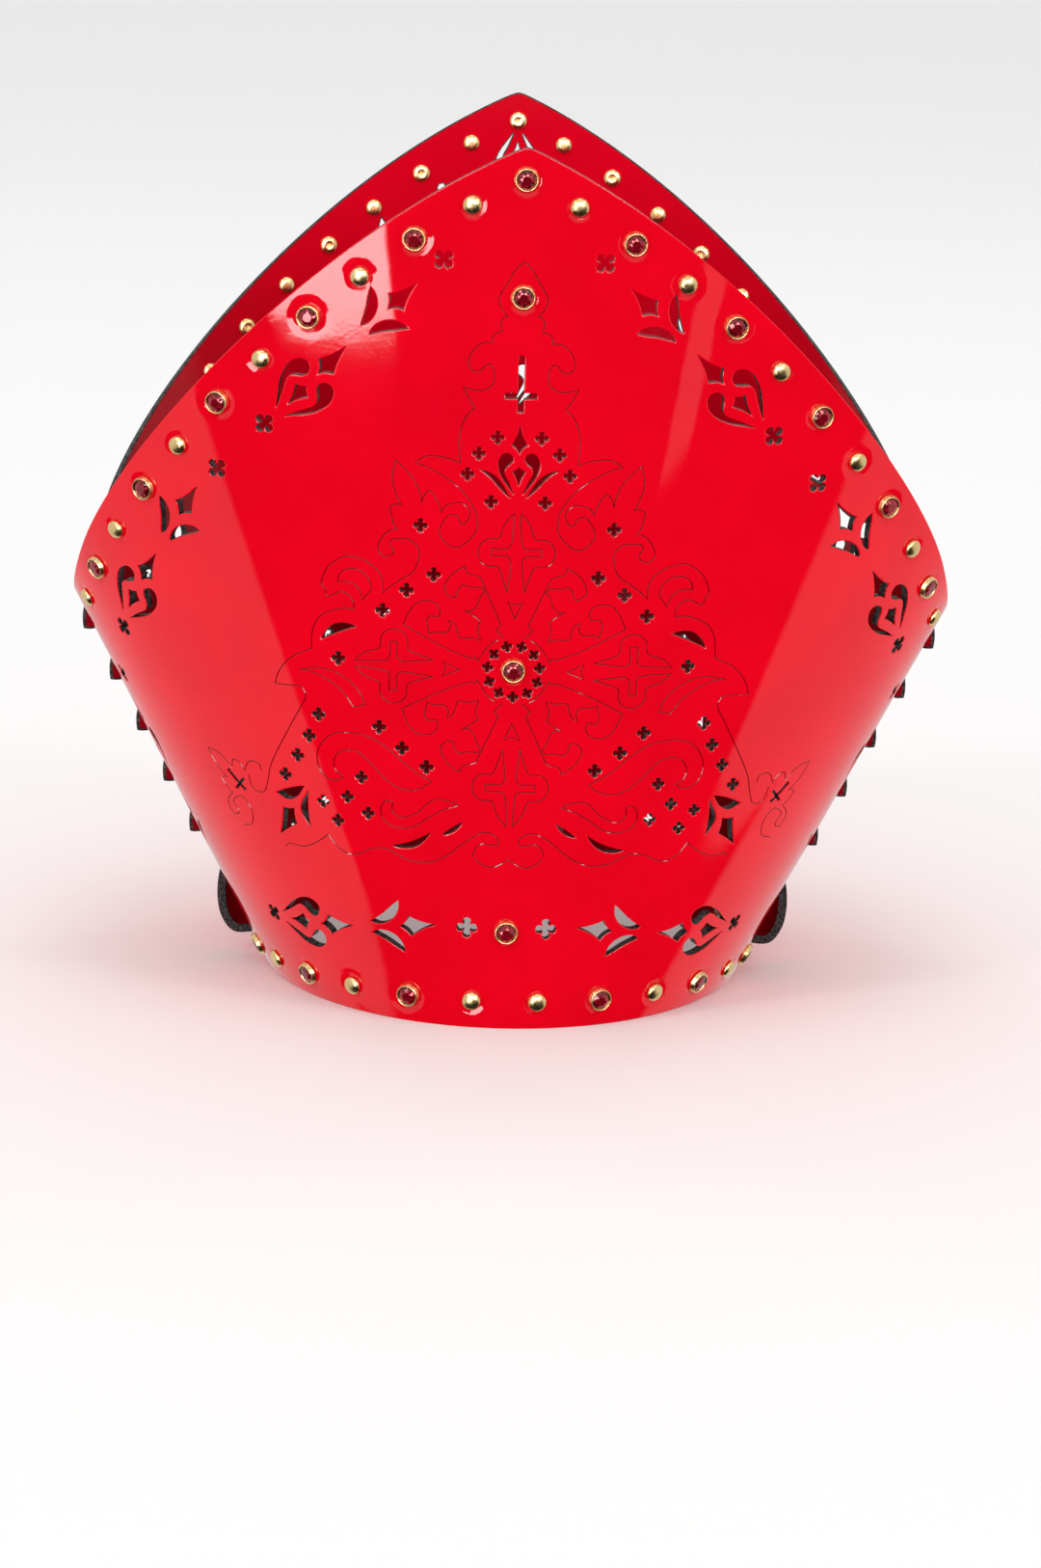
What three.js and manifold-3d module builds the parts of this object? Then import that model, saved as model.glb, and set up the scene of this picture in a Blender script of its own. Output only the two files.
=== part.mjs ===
// Bishop mitre: two leather panels, bent along straight rulings and hooked together
// at the sides, with dome and crystal rivets along their edges.
// Millimetres, +Z up, front towards -Y, origin at the middle of the rim's lower face.
import * as THREE from "three";
import { mergeVertices } from "three/addons/utils/BufferGeometryUtils.js";
import Module from "manifold-3d";

// Leather shell
const LEATHER = 3;
const RIM_HALF_WIDTH = 85;
const RIM_HALF_DEPTH = 101;
const FLARE_LEVEL = 125;
const FLARE_HALF_WIDTH = 151;
const FLARE_HALF_DEPTH = 105;

// Outline of a panel on the flat leather
const APEX_HEIGHT = 300;
const APEX_ROUND = 1.5;
const APEX_SLOPE = 0.455;
const SHOULDER_REACH = 165;
const SHOULDER_HEIGHT = 147;
const SEAM_LENGTH = 146;
const FLAP_REACH = 10;

// Side seam: tabs of the back panel stand out through slots of the front panel
const SEAM_GAP = 0.4;
const TAB_COUNT = 5;
const TAB_BASE = 10;
const TAB_PITCH = 20.7;
const TAB_REACH = 4.6;
const TOP_TAB_DROP = 9.5;
const SLOT_GAP = 0.4;
const OPENING_HEIGHT = 30;
const OPENING_REACH = 27;
const OPENING_FOOT = 8;
const TONGUE_MARGIN = 3;
const TONGUE_GAP = 0.8;
const SCOOP_REACH = 7;
const SCOOP_DEPTH = 8;

// Rivets
const EDGE_MARGIN = 9.5;
const EDGE_STATIONS = 11;
const EDGE_END_STEPS = 1.5;
const RIM_STATIONS = 6;
const RIM_END_STEPS = 1.2;
const HEAD_GAP = 0.55;
const CAP_GAP = 0.3;
const POST_RADIUS = 1.3;
const POST_GAP = 0.3;
const HEAD_SEAT = 0.5;
const CAP_RADIUS = 2.8;
const CAP_HEIGHT = 1.2;
const BEZEL_RADIUS = 4;
const BEZEL_HEIGHT = 1.9;
const STONE_RADIUS = 3;
const TABLE_RADIUS = 1.7;
const STONE_RISE = 0.7;
const DOME_RADIUS = 3.1;
const DOME_HEIGHT = 2;
const DOME_SHOULDER = 0.72;
const FIELD_STONES = [0.837, 0.418, 0.114];

// Pierced ornament
const FLEUR_LENGTH = 33.4;
const HALF_FLEUR_LENGTH = 24;
const CENTRE_FLEUR_LENGTH = 24.5;
const CROSS_LENGTH = 19;
const CROSS_WIDTH = 2;
const CROSS_SPAN = 10.6;

// Fineness of the faceted shell
const COLUMNS = 10;
const COLUMN_BIAS = 1.3;
const LAP_COLUMNS = 1;
const CRYSTAL_SIDES = 8;
const DOME_SIDES = 6;
const HOLE_SIDES = 4;
const SHANK_SIDES = 4;
const DEVELOPMENT_STEPS = 1500;
const SOLVER_STEPS = 40;
const CUT_LIFT = 1.5;
const TAB_ROOT = -SEAM_GAP - 1.5 * LEATHER;

const SIDE_ANGLE = Math.PI / 2;
const LAST_ANGLE = 1.2 * SIDE_ANGLE;
const DEGREE = Math.PI / 180;

const LEATHER_LOOK = { color: 0xe00020, roughness: 0.12, metalness: 0 };
const BRASS_LOOK = { color: 0xd9a441, roughness: 0.25, metalness: 1 };
const CRYSTAL_LOOK = { color: 0xa00818, roughness: 0.1, metalness: 0.3 };

/** Rows of a small table as objects with named columns. */
function table(columns, rows) {
  return rows.map((row) => Object.fromEntries(columns.map((name, i) => [name, row[i]])));
}

// Outlines of the pierced shapes, as shares of the motif's length from its tip
const FLEUR_KITE = table(
  ["along", "across"],
  [
    [0, 0],
    [0.3, 0.108],
    [0.42, 0],
    [0.3, -0.108],
  ],
);
const FLEUR_LEAF = table(
  ["along", "across"],
  [
    [0.41, 0.14],
    [0.46, 0.26],
    [0.66, 0.28],
    [0.985, 0.054],
    [0.68, 0.18],
    [0.52, 0.08],
  ],
);
const HALF_KITE = table(
  ["along", "across"],
  [
    [0, 0],
    [0.4, 0.15],
    [0.56, 0],
    [0.4, -0.15],
  ],
);
const HALF_LEAF = table(
  ["along", "across"],
  [
    [0.52, 0.388],
    [0.775, 0.208],
    [0.992, 0.083],
    [0.75, 0.063],
    [0.58, 0.18],
  ],
);
// Where the pierced motifs lie: tip as shares of the seam's reach and of the apex
// height, with the direction from the tip to the tail in degrees
const MOTIF_ROWS = table(
  ["kind", "across", "up", "turn"],
  [
    ["half", 0.173, 0.85, -44],
    ["fleur", 0.287, 0.777, -46.5],
    ["half", 0.547, 0.603, -56.4],
    ["fleur", 0.635, 0.514, -56.2],
    ["half", 0.118, 0.119, -8.8],
    ["fleur", 0.268, 0.103, -9.4],
  ],
);
const MOTIFS = {
  fleur: { kite: FLEUR_KITE, leaf: FLEUR_LEAF, length: FLEUR_LENGTH },
  half: { kite: HALF_KITE, leaf: HALF_LEAF, length: HALF_FLEUR_LENGTH },
  centre: { kite: FLEUR_KITE, leaf: FLEUR_LEAF, length: CENTRE_FLEUR_LENGTH },
};
const CROSS_TOP = 0.773;
const CENTRE_FLEUR_TOP = 0.697;

const wasm = await Module();
wasm.setup();

/** Closed mesh geometry as a solid that can be joined or cut. */
function toSolid(geometry) {
  const bare = geometry.clone();
  bare.deleteAttribute("normal");
  bare.deleteAttribute("uv");
  const merged = mergeVertices(bare, 1e-4);
  return new wasm.Manifold(
    new wasm.Mesh({
      numProp: 3,
      vertProperties: new Float32Array(merged.attributes.position.array),
      triVerts: new Uint32Array(merged.index.array),
    }),
  );
}

/** Geometry of a body with others joined to it. */
function joined(body, additions) {
  return toGeometry(additions.reduce((solid, extra) => solid.add(toSolid(extra)), body));
}

/** Solid of a body with others cut out of it. */
function carved(body, cutters) {
  return cutters.reduce((solid, cutter) => solid.subtract(toSolid(cutter)), toSolid(body));
}

/** Solid back to a mesh geometry with flat faces. */
function toGeometry(solid) {
  const mesh = solid.getMesh();
  const geometry = new THREE.BufferGeometry();
  geometry.setAttribute("position", new THREE.BufferAttribute(mesh.vertProperties, 3));
  geometry.setIndex(new THREE.BufferAttribute(mesh.triVerts, 1));
  return geometry;
}

/** Geometry from a list of points and a list of triangles. */
function fromTriangles(points, triangles) {
  const geometry = new THREE.BufferGeometry();
  geometry.setAttribute(
    "position",
    new THREE.Float32BufferAttribute(points.flatMap((p) => p.toArray()), 3),
  );
  geometry.setIndex(triangles.flat());
  return geometry;
}

/** Point of an ellipse whose outward side faces the given angle from the front. */
function ellipsePoint(angle, halfWidth, halfDepth) {
  const reach = Math.hypot(halfWidth * Math.sin(angle), halfDepth * Math.cos(angle));
  return new THREE.Vector3(
    (halfWidth ** 2 * Math.sin(angle)) / reach,
    (-(halfDepth ** 2) * Math.cos(angle)) / reach,
    0,
  );
}

/**
 * Outer face of a panel. Straight rulings join points of the rim ellipse and of the
 * flare ellipse that face the same way, so the leather bends without stretching.
 * The flat leather has u across and v up, with the rim's middle at zero.
 */
class LeatherFace {
  constructor(inset) {
    this.rimHalfWidth = RIM_HALF_WIDTH - inset;
    this.flareHalfWidth = FLARE_HALF_WIDTH - inset;
    this.developRulings();
    const corner = this.flat(SIDE_ANGLE, SEAM_LENGTH);
    this.seamReach = corner.x;
    this.seamTop = corner.y;
  }

  /** Foot, direction and outward side of the ruling at a facing angle. */
  ruling(angle) {
    const foot = ellipsePoint(angle, this.rimHalfWidth, RIM_HALF_DEPTH);
    const high = ellipsePoint(angle, this.flareHalfWidth, FLARE_HALF_DEPTH);
    const along = high.sub(foot).setZ(FLARE_LEVEL).normalize();
    const level = new THREE.Vector3(Math.cos(angle), Math.sin(angle), 0);
    const outward = level.clone().cross(along).normalize();
    return { foot, along, level, outward };
  }

  /** Turn and foot of each ruling on the flat leather, summed up in small steps. */
  developRulings() {
    const step = LAST_ANGLE / DEVELOPMENT_STEPS;
    this.step = step;
    this.rows = [{ turn: 0, u: 0, v: 0 }];
    let last = this.ruling(0);
    for (let i = 1; i <= DEVELOPMENT_STEPS; i += 1) {
      const next = this.ruling(i * step);
      const before = this.rows[i - 1];
      const swing = Math.sign(next.along.dot(last.level) - last.along.dot(last.level));
      const turn = before.turn + swing * last.along.angleTo(next.along);
      const middle = (before.turn + turn) / 2;
      const move = next.foot.clone().sub(last.foot);
      const axis = last.along.clone().add(next.along).normalize();
      const up = move.dot(axis);
      const side = Math.sqrt(Math.max(move.lengthSq() - up * up, 0));
      this.rows.push({
        turn,
        u: before.u + up * Math.sin(middle) + side * Math.cos(middle),
        v: before.v + up * Math.cos(middle) - side * Math.sin(middle),
      });
      last = next;
    }
  }

  /** Flat row at a facing angle, between two tabled rows. */
  row(angle) {
    const place = Math.min(angle / this.step, DEVELOPMENT_STEPS - 1);
    const i = Math.floor(place);
    const share = place - i;
    const [a, b] = [this.rows[i], this.rows[i + 1]];
    return {
      turn: a.turn + share * (b.turn - a.turn),
      u: a.u + share * (b.u - a.u),
      v: a.v + share * (b.v - a.v),
    };
  }

  /** Flat place of the point at a distance up the ruling of a facing angle. */
  flat(angle, distance) {
    const row = this.row(Math.abs(angle));
    const u = row.u + distance * Math.sin(row.turn);
    const v = row.v + distance * Math.cos(row.turn);
    return new THREE.Vector2(Math.sign(angle) * u, v);
  }

  /** Facing angle and distance up the ruling of a flat place. */
  locate(u, v) {
    let low = 0;
    let high = LAST_ANGLE;
    for (let i = 0; i < SOLVER_STEPS; i += 1) {
      const middle = (low + high) / 2;
      const row = this.row(middle);
      const beyond = (Math.abs(u) - row.u) * Math.cos(row.turn) - (v - row.v) * Math.sin(row.turn);
      if (beyond > 0) low = middle;
      else high = middle;
    }
    const row = this.row(low);
    const distance = (Math.abs(u) - row.u) * Math.sin(row.turn) + (v - row.v) * Math.cos(row.turn);
    return { angle: u < 0 ? -low : low, distance };
  }

  /** Place on the bent leather, lifted outwards from the outer face. */
  bend(u, v, lift) {
    const { angle, distance } = this.locate(u, v);
    const { foot, along, outward } = this.ruling(angle);
    return foot.addScaledVector(along, distance).addScaledVector(outward, lift);
  }

  /** Flat place beside the seam: up from the rim, and past the seam to the flap. */
  besideSeam(up, past) {
    const row = this.row(SIDE_ANGLE);
    const { x, y } = this.flat(SIDE_ANGLE, up);
    return new THREE.Vector2(x + past * Math.cos(row.turn), y - past * Math.sin(row.turn));
  }

  /** Height of the panel's top edge on the flat leather. */
  edgeHeight(u) {
    const across = Math.hypot(u, APEX_ROUND) - APEX_ROUND;
    const drop = APEX_HEIGHT - APEX_SLOPE * SHOULDER_REACH - SHOULDER_HEIGHT;
    if (across <= SHOULDER_REACH) {
      return APEX_HEIGHT - APEX_SLOPE * across - drop * (across / SHOULDER_REACH) ** 2;
    }
    const slope = APEX_SLOPE + (2 * drop) / SHOULDER_REACH;
    const run = Math.max(this.seamReach - SHOULDER_REACH, 1);
    const ease = (this.seamTop - SHOULDER_HEIGHT + slope * run) / run ** 2;
    const past = across - SHOULDER_REACH;
    return SHOULDER_HEIGHT - slope * past + ease * past ** 2;
  }

  /** Length of the ruling at a facing angle, from the rim to the top edge. */
  rulingLength(angle) {
    let low = 0;
    let high = 2 * APEX_HEIGHT;
    for (let i = 0; i < SOLVER_STEPS; i += 1) {
      const middle = (low + high) / 2;
      const place = this.flat(Math.abs(angle), middle);
      if (place.y < this.edgeHeight(place.x)) low = middle;
      else high = middle;
    }
    return low;
  }

  /** Angle from the seam of a ruling whose foot lies a given length past the seam. */
  anglePast(length) {
    return (length * this.rimHalfWidth) / RIM_HALF_DEPTH ** 2;
  }
}

/** Facing angles of the flat strips on one side, closer together near the apex. */
function stripAngles(face, endAngle) {
  const lap = face.anglePast(FLAP_REACH);
  const angles = [];
  for (let i = 0; i < COLUMNS; i += 1) {
    angles.push((SIDE_ANGLE - lap) * ((i + 0.5) / COLUMNS) ** COLUMN_BIAS);
  }
  const first = SIDE_ANGLE - lap / 2;
  const count = Math.max(Math.round((2 * LAP_COLUMNS * (endAngle - first)) / lap), 1);
  for (let i = 0; i <= count; i += 1) {
    angles.push(first + ((endAngle - first) * i) / count);
  }
  return angles;
}

/** Plane that touches a panel's outer face, or lies a depth behind it. */
function touchingPlane(face, angle, depth) {
  const { foot, outward } = face.ruling(angle);
  return { normal: outward, offset: outward.dot(foot) - depth };
}

/** Point at a height on the line where two planes meet. */
function meetAt(a, b, z) {
  const p = a.offset - a.normal.z * z;
  const q = b.offset - b.normal.z * z;
  const scale = a.normal.x * b.normal.y - a.normal.y * b.normal.x;
  return new THREE.Vector3(
    (p * b.normal.y - q * a.normal.y) / scale,
    (q * a.normal.x - p * b.normal.x) / scale,
    z,
  );
}

/** Outer foot, outer top, inner top and inner foot at the fold of two strips. */
function foldCorners(face, before, after) {
  const middle = (before + after) / 2;
  const { along, outward } = face.ruling(middle);
  const top = face.rulingLength(middle) * along.z;
  const outer = [before, after].map((angle) => touchingPlane(face, angle, 0));
  const inner = [before, after].map((angle) => touchingPlane(face, angle, LEATHER));
  return [
    meetAt(...outer, 0),
    meetAt(...outer, top),
    meetAt(...inner, top - LEATHER * outward.z),
    meetAt(...inner, 0),
  ];
}

/** The same four corners at a panel's side edge. */
function endCorners(face, angle) {
  const { foot, along, outward } = face.ruling(angle);
  const top = foot.clone().addScaledVector(along, face.rulingLength(angle));
  const innerFoot = foot.clone().addScaledVector(outward, -LEATHER);
  innerFoot.addScaledVector(along, -innerFoot.z / along.z);
  return [foot, top, top.clone().addScaledVector(outward, -LEATHER), innerFoot];
}

/** Leather wall between the rim and the top edge, in flat strips, without its holes. */
function wallGeometry(face, endAngle) {
  const half = stripAngles(face, endAngle);
  const angles = [...half.map((angle) => -angle).reverse(), ...half];
  const points = [...endCorners(face, -endAngle)];
  for (let i = 0; i + 1 < angles.length; i += 1) {
    points.push(...foldCorners(face, angles[i], angles[i + 1]));
  }
  points.push(...endCorners(face, endAngle));
  const triangles = [];
  const last = points.length - 4;
  for (let start = 0; start < last; start += 4) {
    for (let side = 0; side < 4; side += 1) {
      const a = start + side;
      const b = start + ((side + 1) % 4);
      triangles.push([a, b + 4, b], [a, a + 4, b + 4]);
    }
  }
  triangles.push([0, 1, 2], [0, 2, 3], [last, last + 2, last + 1], [last, last + 3, last + 2]);
  return fromTriangles(points, triangles);
}

/** Prism over a bent outline, square to the leather at the outline's middle. */
function leatherPrism(face, outline, highLift, lowLift) {
  const ring = THREE.ShapeUtils.isClockWise(outline) ? outline.slice().reverse() : outline;
  const count = ring.length;
  const middle = ring.reduce((sum, p) => sum.add(p), new THREE.Vector2()).divideScalar(count);
  const { outward } = face.ruling(face.locate(middle.x, middle.y).angle);
  const points = [
    ...ring.map((p) => face.bend(p.x, p.y, 0).addScaledVector(outward, highLift)),
    ...ring.map((p) => face.bend(p.x, p.y, 0).addScaledVector(outward, lowLift)),
  ];
  const caps = THREE.ShapeUtils.triangulateShape(ring, []);
  const triangles = [];
  for (const [a, b, c] of caps) {
    triangles.push([a, b, c], [a + count, c + count, b + count]);
  }
  for (let i = 0; i < count; i += 1) {
    const next = (i + 1) % count;
    triangles.push([i, i + count, next + count], [i, next + count, next]);
  }
  return fromTriangles(points, triangles);
}

/** Cutter for a hole of the given flat outline through a panel's whole wall. */
function holeCutter(face, outline) {
  return leatherPrism(face, outline, CUT_LIFT, -LEATHER - CUT_LIFT);
}

/** Motif outline laid on the flat leather from its tip, turned and scaled. */
function layOutline(rows, tip, turn, length, flip) {
  return rows.map(({ along, across }) => {
    const p = new THREE.Vector2(along * length, across * length * flip);
    return p.rotateAround(new THREE.Vector2(), turn).add(tip);
  });
}

/** Flat outlines of a motif: its kite and the two leaves beside it. */
function motifOutlines({ kite, leaf, length }, tip, turn) {
  return [
    layOutline(kite, tip, turn, length, 1),
    layOutline(leaf, tip, turn, length, 1),
    layOutline(leaf, tip, turn, length, -1),
  ];
}

/** Long cross with its short end down, as one outline. */
function crossOutline(face) {
  const half = CROSS_WIDTH / 2;
  const span = CROSS_SPAN / 2;
  const top = CROSS_TOP * APEX_HEIGHT;
  const foot = top - CROSS_LENGTH;
  const bar = foot + span;
  return [
    [half, top],
    [-half, top],
    [-half, bar + half],
    [-span, bar + half],
    [-span, bar - half],
    [-half, bar - half],
    [-half, foot],
    [half, foot],
    [half, bar - half],
    [span, bar - half],
    [span, bar + half],
    [half, bar + half],
  ].map(([u, v]) => new THREE.Vector2(u, v));
}

/** All pierced outlines of a panel on the flat leather. */
function ornamentOutlines(face) {
  const outlines = [crossOutline(face)];
  const centre = new THREE.Vector2(0, CENTRE_FLEUR_TOP * APEX_HEIGHT);
  outlines.push(...motifOutlines(MOTIFS.centre, centre, -SIDE_ANGLE));
  for (const { kind, across, up, turn } of MOTIF_ROWS) {
    const tip = new THREE.Vector2(across * face.seamReach, up * APEX_HEIGHT);
    for (const outline of motifOutlines(MOTIFS[kind], tip, turn * DEGREE)) {
      outlines.push(outline, outline.map((p) => new THREE.Vector2(-p.x, p.y)));
    }
  }
  return outlines;
}

/** Points of a panel's margin line, a fixed distance inside a curve of places. */
function marginLine(places, inside) {
  return places.map((p, i) => {
    const a = places[Math.max(i - 1, 0)];
    const b = places[Math.min(i + 1, places.length - 1)];
    const run = b.clone().sub(a).normalize();
    return new THREE.Vector2(p.x + run.y * inside, p.y - run.x * inside);
  });
}

/** Place at a distance along a line of places. */
function placeAlong(places, distance) {
  let left = distance;
  for (let i = 0; i + 1 < places.length; i += 1) {
    const length = places[i].distanceTo(places[i + 1]);
    if (left <= length) return places[i].clone().lerp(places[i + 1], left / length);
    left -= length;
  }
  return places[places.length - 1].clone();
}

/** Length of a line of places. */
function lineLength(places) {
  return places.slice(1).reduce((sum, p, i) => sum + p.distanceTo(places[i]), 0);
}

/** Places of a panel's crystal and dome rivets on the flat leather. */
function rivetPlaces(face) {
  const steps = 120;
  const edge = [];
  const rim = [];
  for (let i = 0; i <= steps; i += 1) {
    const u = (face.seamReach * i) / steps;
    edge.push(new THREE.Vector2(u, face.edgeHeight(u)));
    rim.push(face.flat((SIDE_ANGLE * Math.max(i, 1e-6)) / steps, 0));
  }
  const edgeLine = marginLine(edge, EDGE_MARGIN);
  edgeLine[0].set(0, APEX_HEIGHT - EDGE_MARGIN - APEX_ROUND / 2);
  const rimLine = marginLine(rim, -EDGE_MARGIN);
  const edgePitch = lineLength(edgeLine) / (EDGE_STATIONS + EDGE_END_STEPS);
  const rimPitch = lineLength(rimLine) / (RIM_STATIONS - 0.5 + RIM_END_STEPS);
  const crystals = FIELD_STONES.map((up) => new THREE.Vector2(0, up * APEX_HEIGHT));
  const domes = [];
  crystals.push(edgeLine[0].clone());
  for (let i = 1; i <= EDGE_STATIONS; i += 1) {
    const place = placeAlong(edgeLine, i * edgePitch);
    (i % 2 === 0 ? crystals : domes).push(place, place.clone().setX(-place.x));
  }
  for (let i = 0; i < RIM_STATIONS; i += 1) {
    const place = placeAlong(rimLine, (i + 0.5) * rimPitch);
    (i % 2 === 1 ? crystals : domes).push(place, place.clone().setX(-place.x));
  }
  return { crystals, domes };
}

/** Cutter for a rivet's post hole. */
function postHole(face, place) {
  const radius = (POST_RADIUS + POST_GAP) / Math.cos(Math.PI / HOLE_SIDES);
  const outline = [];
  for (let i = 0; i < HOLE_SIDES; i += 1) {
    const turn = (2 * Math.PI * i) / HOLE_SIDES;
    outline.push(new THREE.Vector2(radius * Math.cos(turn), radius * Math.sin(turn)).add(place));
  }
  return holeCutter(face, outline);
}

/** Distances up the seam of the middle of each hook tab. */
function tabPlaces() {
  const places = [];
  for (let i = 0; i < TAB_COUNT; i += 1) {
    places.push(SEAM_LENGTH - TOP_TAB_DROP - i * TAB_PITCH);
  }
  return places;
}

/** Flat rectangle beside the seam, on the side given by the sign. */
function seamOutline(face, low, high, front, back, sign) {
  return [
    [low, front],
    [low, back],
    [high, back],
    [high, front],
  ].map(([up, past]) => {
    const place = face.besideSeam(up, past);
    return place.setX(sign * place.x);
  });
}

/** Flat half-moon on the front side of the seam, grown by a margin. */
function moonOutline(face, margin, back, sign) {
  const middle = OPENING_FOOT + OPENING_HEIGHT / 2;
  const points = [];
  const steps = 10;
  for (let i = 0; i <= steps; i += 1) {
    const turn = (Math.PI * i) / steps;
    const up = middle + (OPENING_HEIGHT / 2 + margin) * Math.cos(turn);
    const past = back - (OPENING_REACH + margin) * Math.sin(turn);
    const place = face.besideSeam(up, past);
    points.push(place.setX(sign * place.x));
  }
  return points;
}

/** Plate across the seam with an outline up the seam and out from the front's face. */
function seamPlate(face, outline, front, back, sign) {
  const { foot, along, outward } = face.ruling(sign * SIDE_ANGLE);
  const shape = new THREE.Shape(outline.map(([up, out]) => new THREE.Vector2(up, out)));
  const plate = new THREE.ExtrudeGeometry(shape, { depth: back - front, bevelEnabled: false });
  const depthAxis = along.clone().cross(outward);
  const frame = new THREE.Matrix4().makeBasis(along, outward, depthAxis);
  plate.translate(0, 0, sign > 0 ? front : -back);
  plate.applyMatrix4(frame);
  plate.translate(foot.x, foot.y, foot.z);
  return plate;
}

/** Outline of a hook tab: a long rounded upper side and a short lower side. */
function tabOutline(middle) {
  const low = middle - TAB_BASE / 2;
  const high = middle + TAB_BASE / 2;
  return [
    [low, TAB_ROOT],
    [high, TAB_ROOT],
    [high, 0],
    [high - TAB_BASE * 0.3, TAB_REACH * 0.62],
    [high - TAB_BASE * 0.62, TAB_REACH],
    [low + TAB_BASE * 0.1, TAB_REACH * 0.5],
    [low, 0],
  ];
}

// Profile of the big curled tab, as shares of the opening's height and of the reach
const SCOOP_PROFILE = table(
  ["up", "out"],
  [
    [1, 0],
    [0.82, 0.45],
    [0.6, 0.82],
    [0.35, 1],
    [0.12, 0.88],
    [0, 0.1],
  ],
);

/** Big tab: its plate through the opening and the lip that curls to the front. */
function scoopPieces(face, sign) {
  const low = OPENING_FOOT + SLOT_GAP;
  const height = OPENING_HEIGHT - 2 * SLOT_GAP;
  const rise = SCOOP_PROFILE.map(({ up, out }) => [low + up * height, out * SCOOP_REACH]);
  const plate = [[low, TAB_ROOT], [low + height, TAB_ROOT], ...rise];
  const back = LEATHER / 2;
  const lipFoot = SEAM_GAP;
  const outer = rise.map(([up, out]) => [up, Math.max(out, lipFoot)]).slice(1);
  const thinned = outer.map(([up, out]) => [up, Math.max(out - LEATHER, lipFoot)]);
  const inner = thinned.slice(0, -1).reverse();
  inner[0][0] = low + LEATHER;
  return [
    seamPlate(face, plate, -back, back, sign),
    seamPlate(face, [...outer, ...inner], back - SCOOP_DEPTH, back, sign),
  ];
}

/** Cutters for the ornament and the rivet posts of a panel. */
function panelCutters(face, places) {
  const posts = [...places.crystals, ...places.domes].map((place) => postHole(face, place));
  return [...ornamentOutlines(face).map((outline) => holeCutter(face, outline)), ...posts];
}

/** Front panel with its ornament, rivet holes, slots and side openings. */
function frontPanel(face, places) {
  const cutters = panelCutters(face, places);
  const back = LEATHER / 2 + SLOT_GAP;
  for (const sign of [-1, 1]) {
    for (const middle of tabPlaces()) {
      const half = TAB_BASE / 2 + SLOT_GAP;
      const slot = seamOutline(face, middle - half, middle + half, -back, back, sign);
      cutters.push(holeCutter(face, slot));
    }
    cutters.push(holeCutter(face, moonOutline(face, 0, back, sign)));
  }
  const wall = wallGeometry(face, SIDE_ANGLE + face.anglePast(FLAP_REACH));
  return toGeometry(carved(wall, cutters));
}

/** Back panel with its ornament, rivet holes, hook tabs and big curled tabs. */
function backPanel(face, frontFace, places) {
  const wall = wallGeometry(face, SIDE_ANGLE + face.anglePast(LEATHER / 2));
  const cutters = panelCutters(face, places);
  const body = carved(
    wall.rotateZ(Math.PI),
    cutters.map((cutter) => cutter.rotateZ(Math.PI)),
  );
  const outer = -LEATHER - TONGUE_GAP;
  const additions = [];
  for (const sign of [-1, 1]) {
    for (const middle of tabPlaces()) {
      additions.push(seamPlate(frontFace, tabOutline(middle), -LEATHER / 2, LEATHER / 2, sign));
    }
    const moon = moonOutline(frontFace, TONGUE_MARGIN, LEATHER, sign);
    additions.push(leatherPrism(frontFace, moon, outer, outer - LEATHER));
    additions.push(...scoopPieces(frontFace, sign));
  }
  return joined(body, additions);
}

/** Body of revolution with flat sides about +Z, from radius and height pairs. */
function turned(profile, sides) {
  const points = profile.map(([radius, height]) => new THREE.Vector2(radius, height));
  const geometry = new THREE.LatheGeometry(points, sides);
  return geometry.rotateX(Math.PI / 2);
}

/** Rivet: head on a post that ends in a cap inside the leather. */
function rivet(headProfile, headSides) {
  const inside = -LEATHER - CAP_GAP;
  const shank = turned(
    [
      [0, inside - CAP_HEIGHT],
      [CAP_RADIUS, inside],
      [POST_RADIUS, inside],
      [POST_RADIUS, HEAD_GAP + HEAD_SEAT],
      [0, HEAD_GAP + HEAD_SEAT],
    ],
    SHANK_SIDES,
  );
  return joined(toSolid(turned(headProfile, headSides)), [shank]);
}

/** Crystal rivet: bezel with a faceted stone that has a flat table. */
function crystalRivet() {
  const rim = HEAD_GAP + BEZEL_HEIGHT;
  return rivet(
    [
      [0, HEAD_GAP],
      [BEZEL_RADIUS, HEAD_GAP],
      [STONE_RADIUS, rim],
      [TABLE_RADIUS, rim + STONE_RISE],
      [0, rim + STONE_RISE],
    ],
    CRYSTAL_SIDES,
  );
}

/** Dome rivet with a rounded head. */
function domeRivet() {
  return rivet(
    [
      [0, HEAD_GAP],
      [DOME_RADIUS, HEAD_GAP],
      [DOME_RADIUS * DOME_SHOULDER, HEAD_GAP + DOME_HEIGHT * DOME_SHOULDER],
      [0, HEAD_GAP + DOME_HEIGHT],
    ],
    DOME_SIDES,
  );
}

/** Mesh of a rivet set square on the leather at a flat place. */
function rivetMesh(face, place, geometry, look, name) {
  const { angle } = face.locate(place.x, place.y);
  const { along, outward } = face.ruling(angle);
  const mesh = new THREE.Mesh(geometry, new THREE.MeshStandardMaterial(look));
  mesh.name = name;
  mesh.position.copy(face.bend(place.x, place.y, 0));
  const frame = new THREE.Matrix4().makeBasis(outward.clone().cross(along).negate(), along, outward);
  mesh.quaternion.setFromRotationMatrix(frame);
  return mesh;
}

/** Group of numbered rivets of one kind. */
function rivetRow(face, places, geometry, look, label) {
  const row = new THREE.Group();
  places.forEach((place, i) => {
    const number = String(i + 1).padStart(2, "0");
    row.add(rivetMesh(face, place, geometry, look, `${label}_${number}`));
  });
  return row;
}

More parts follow.
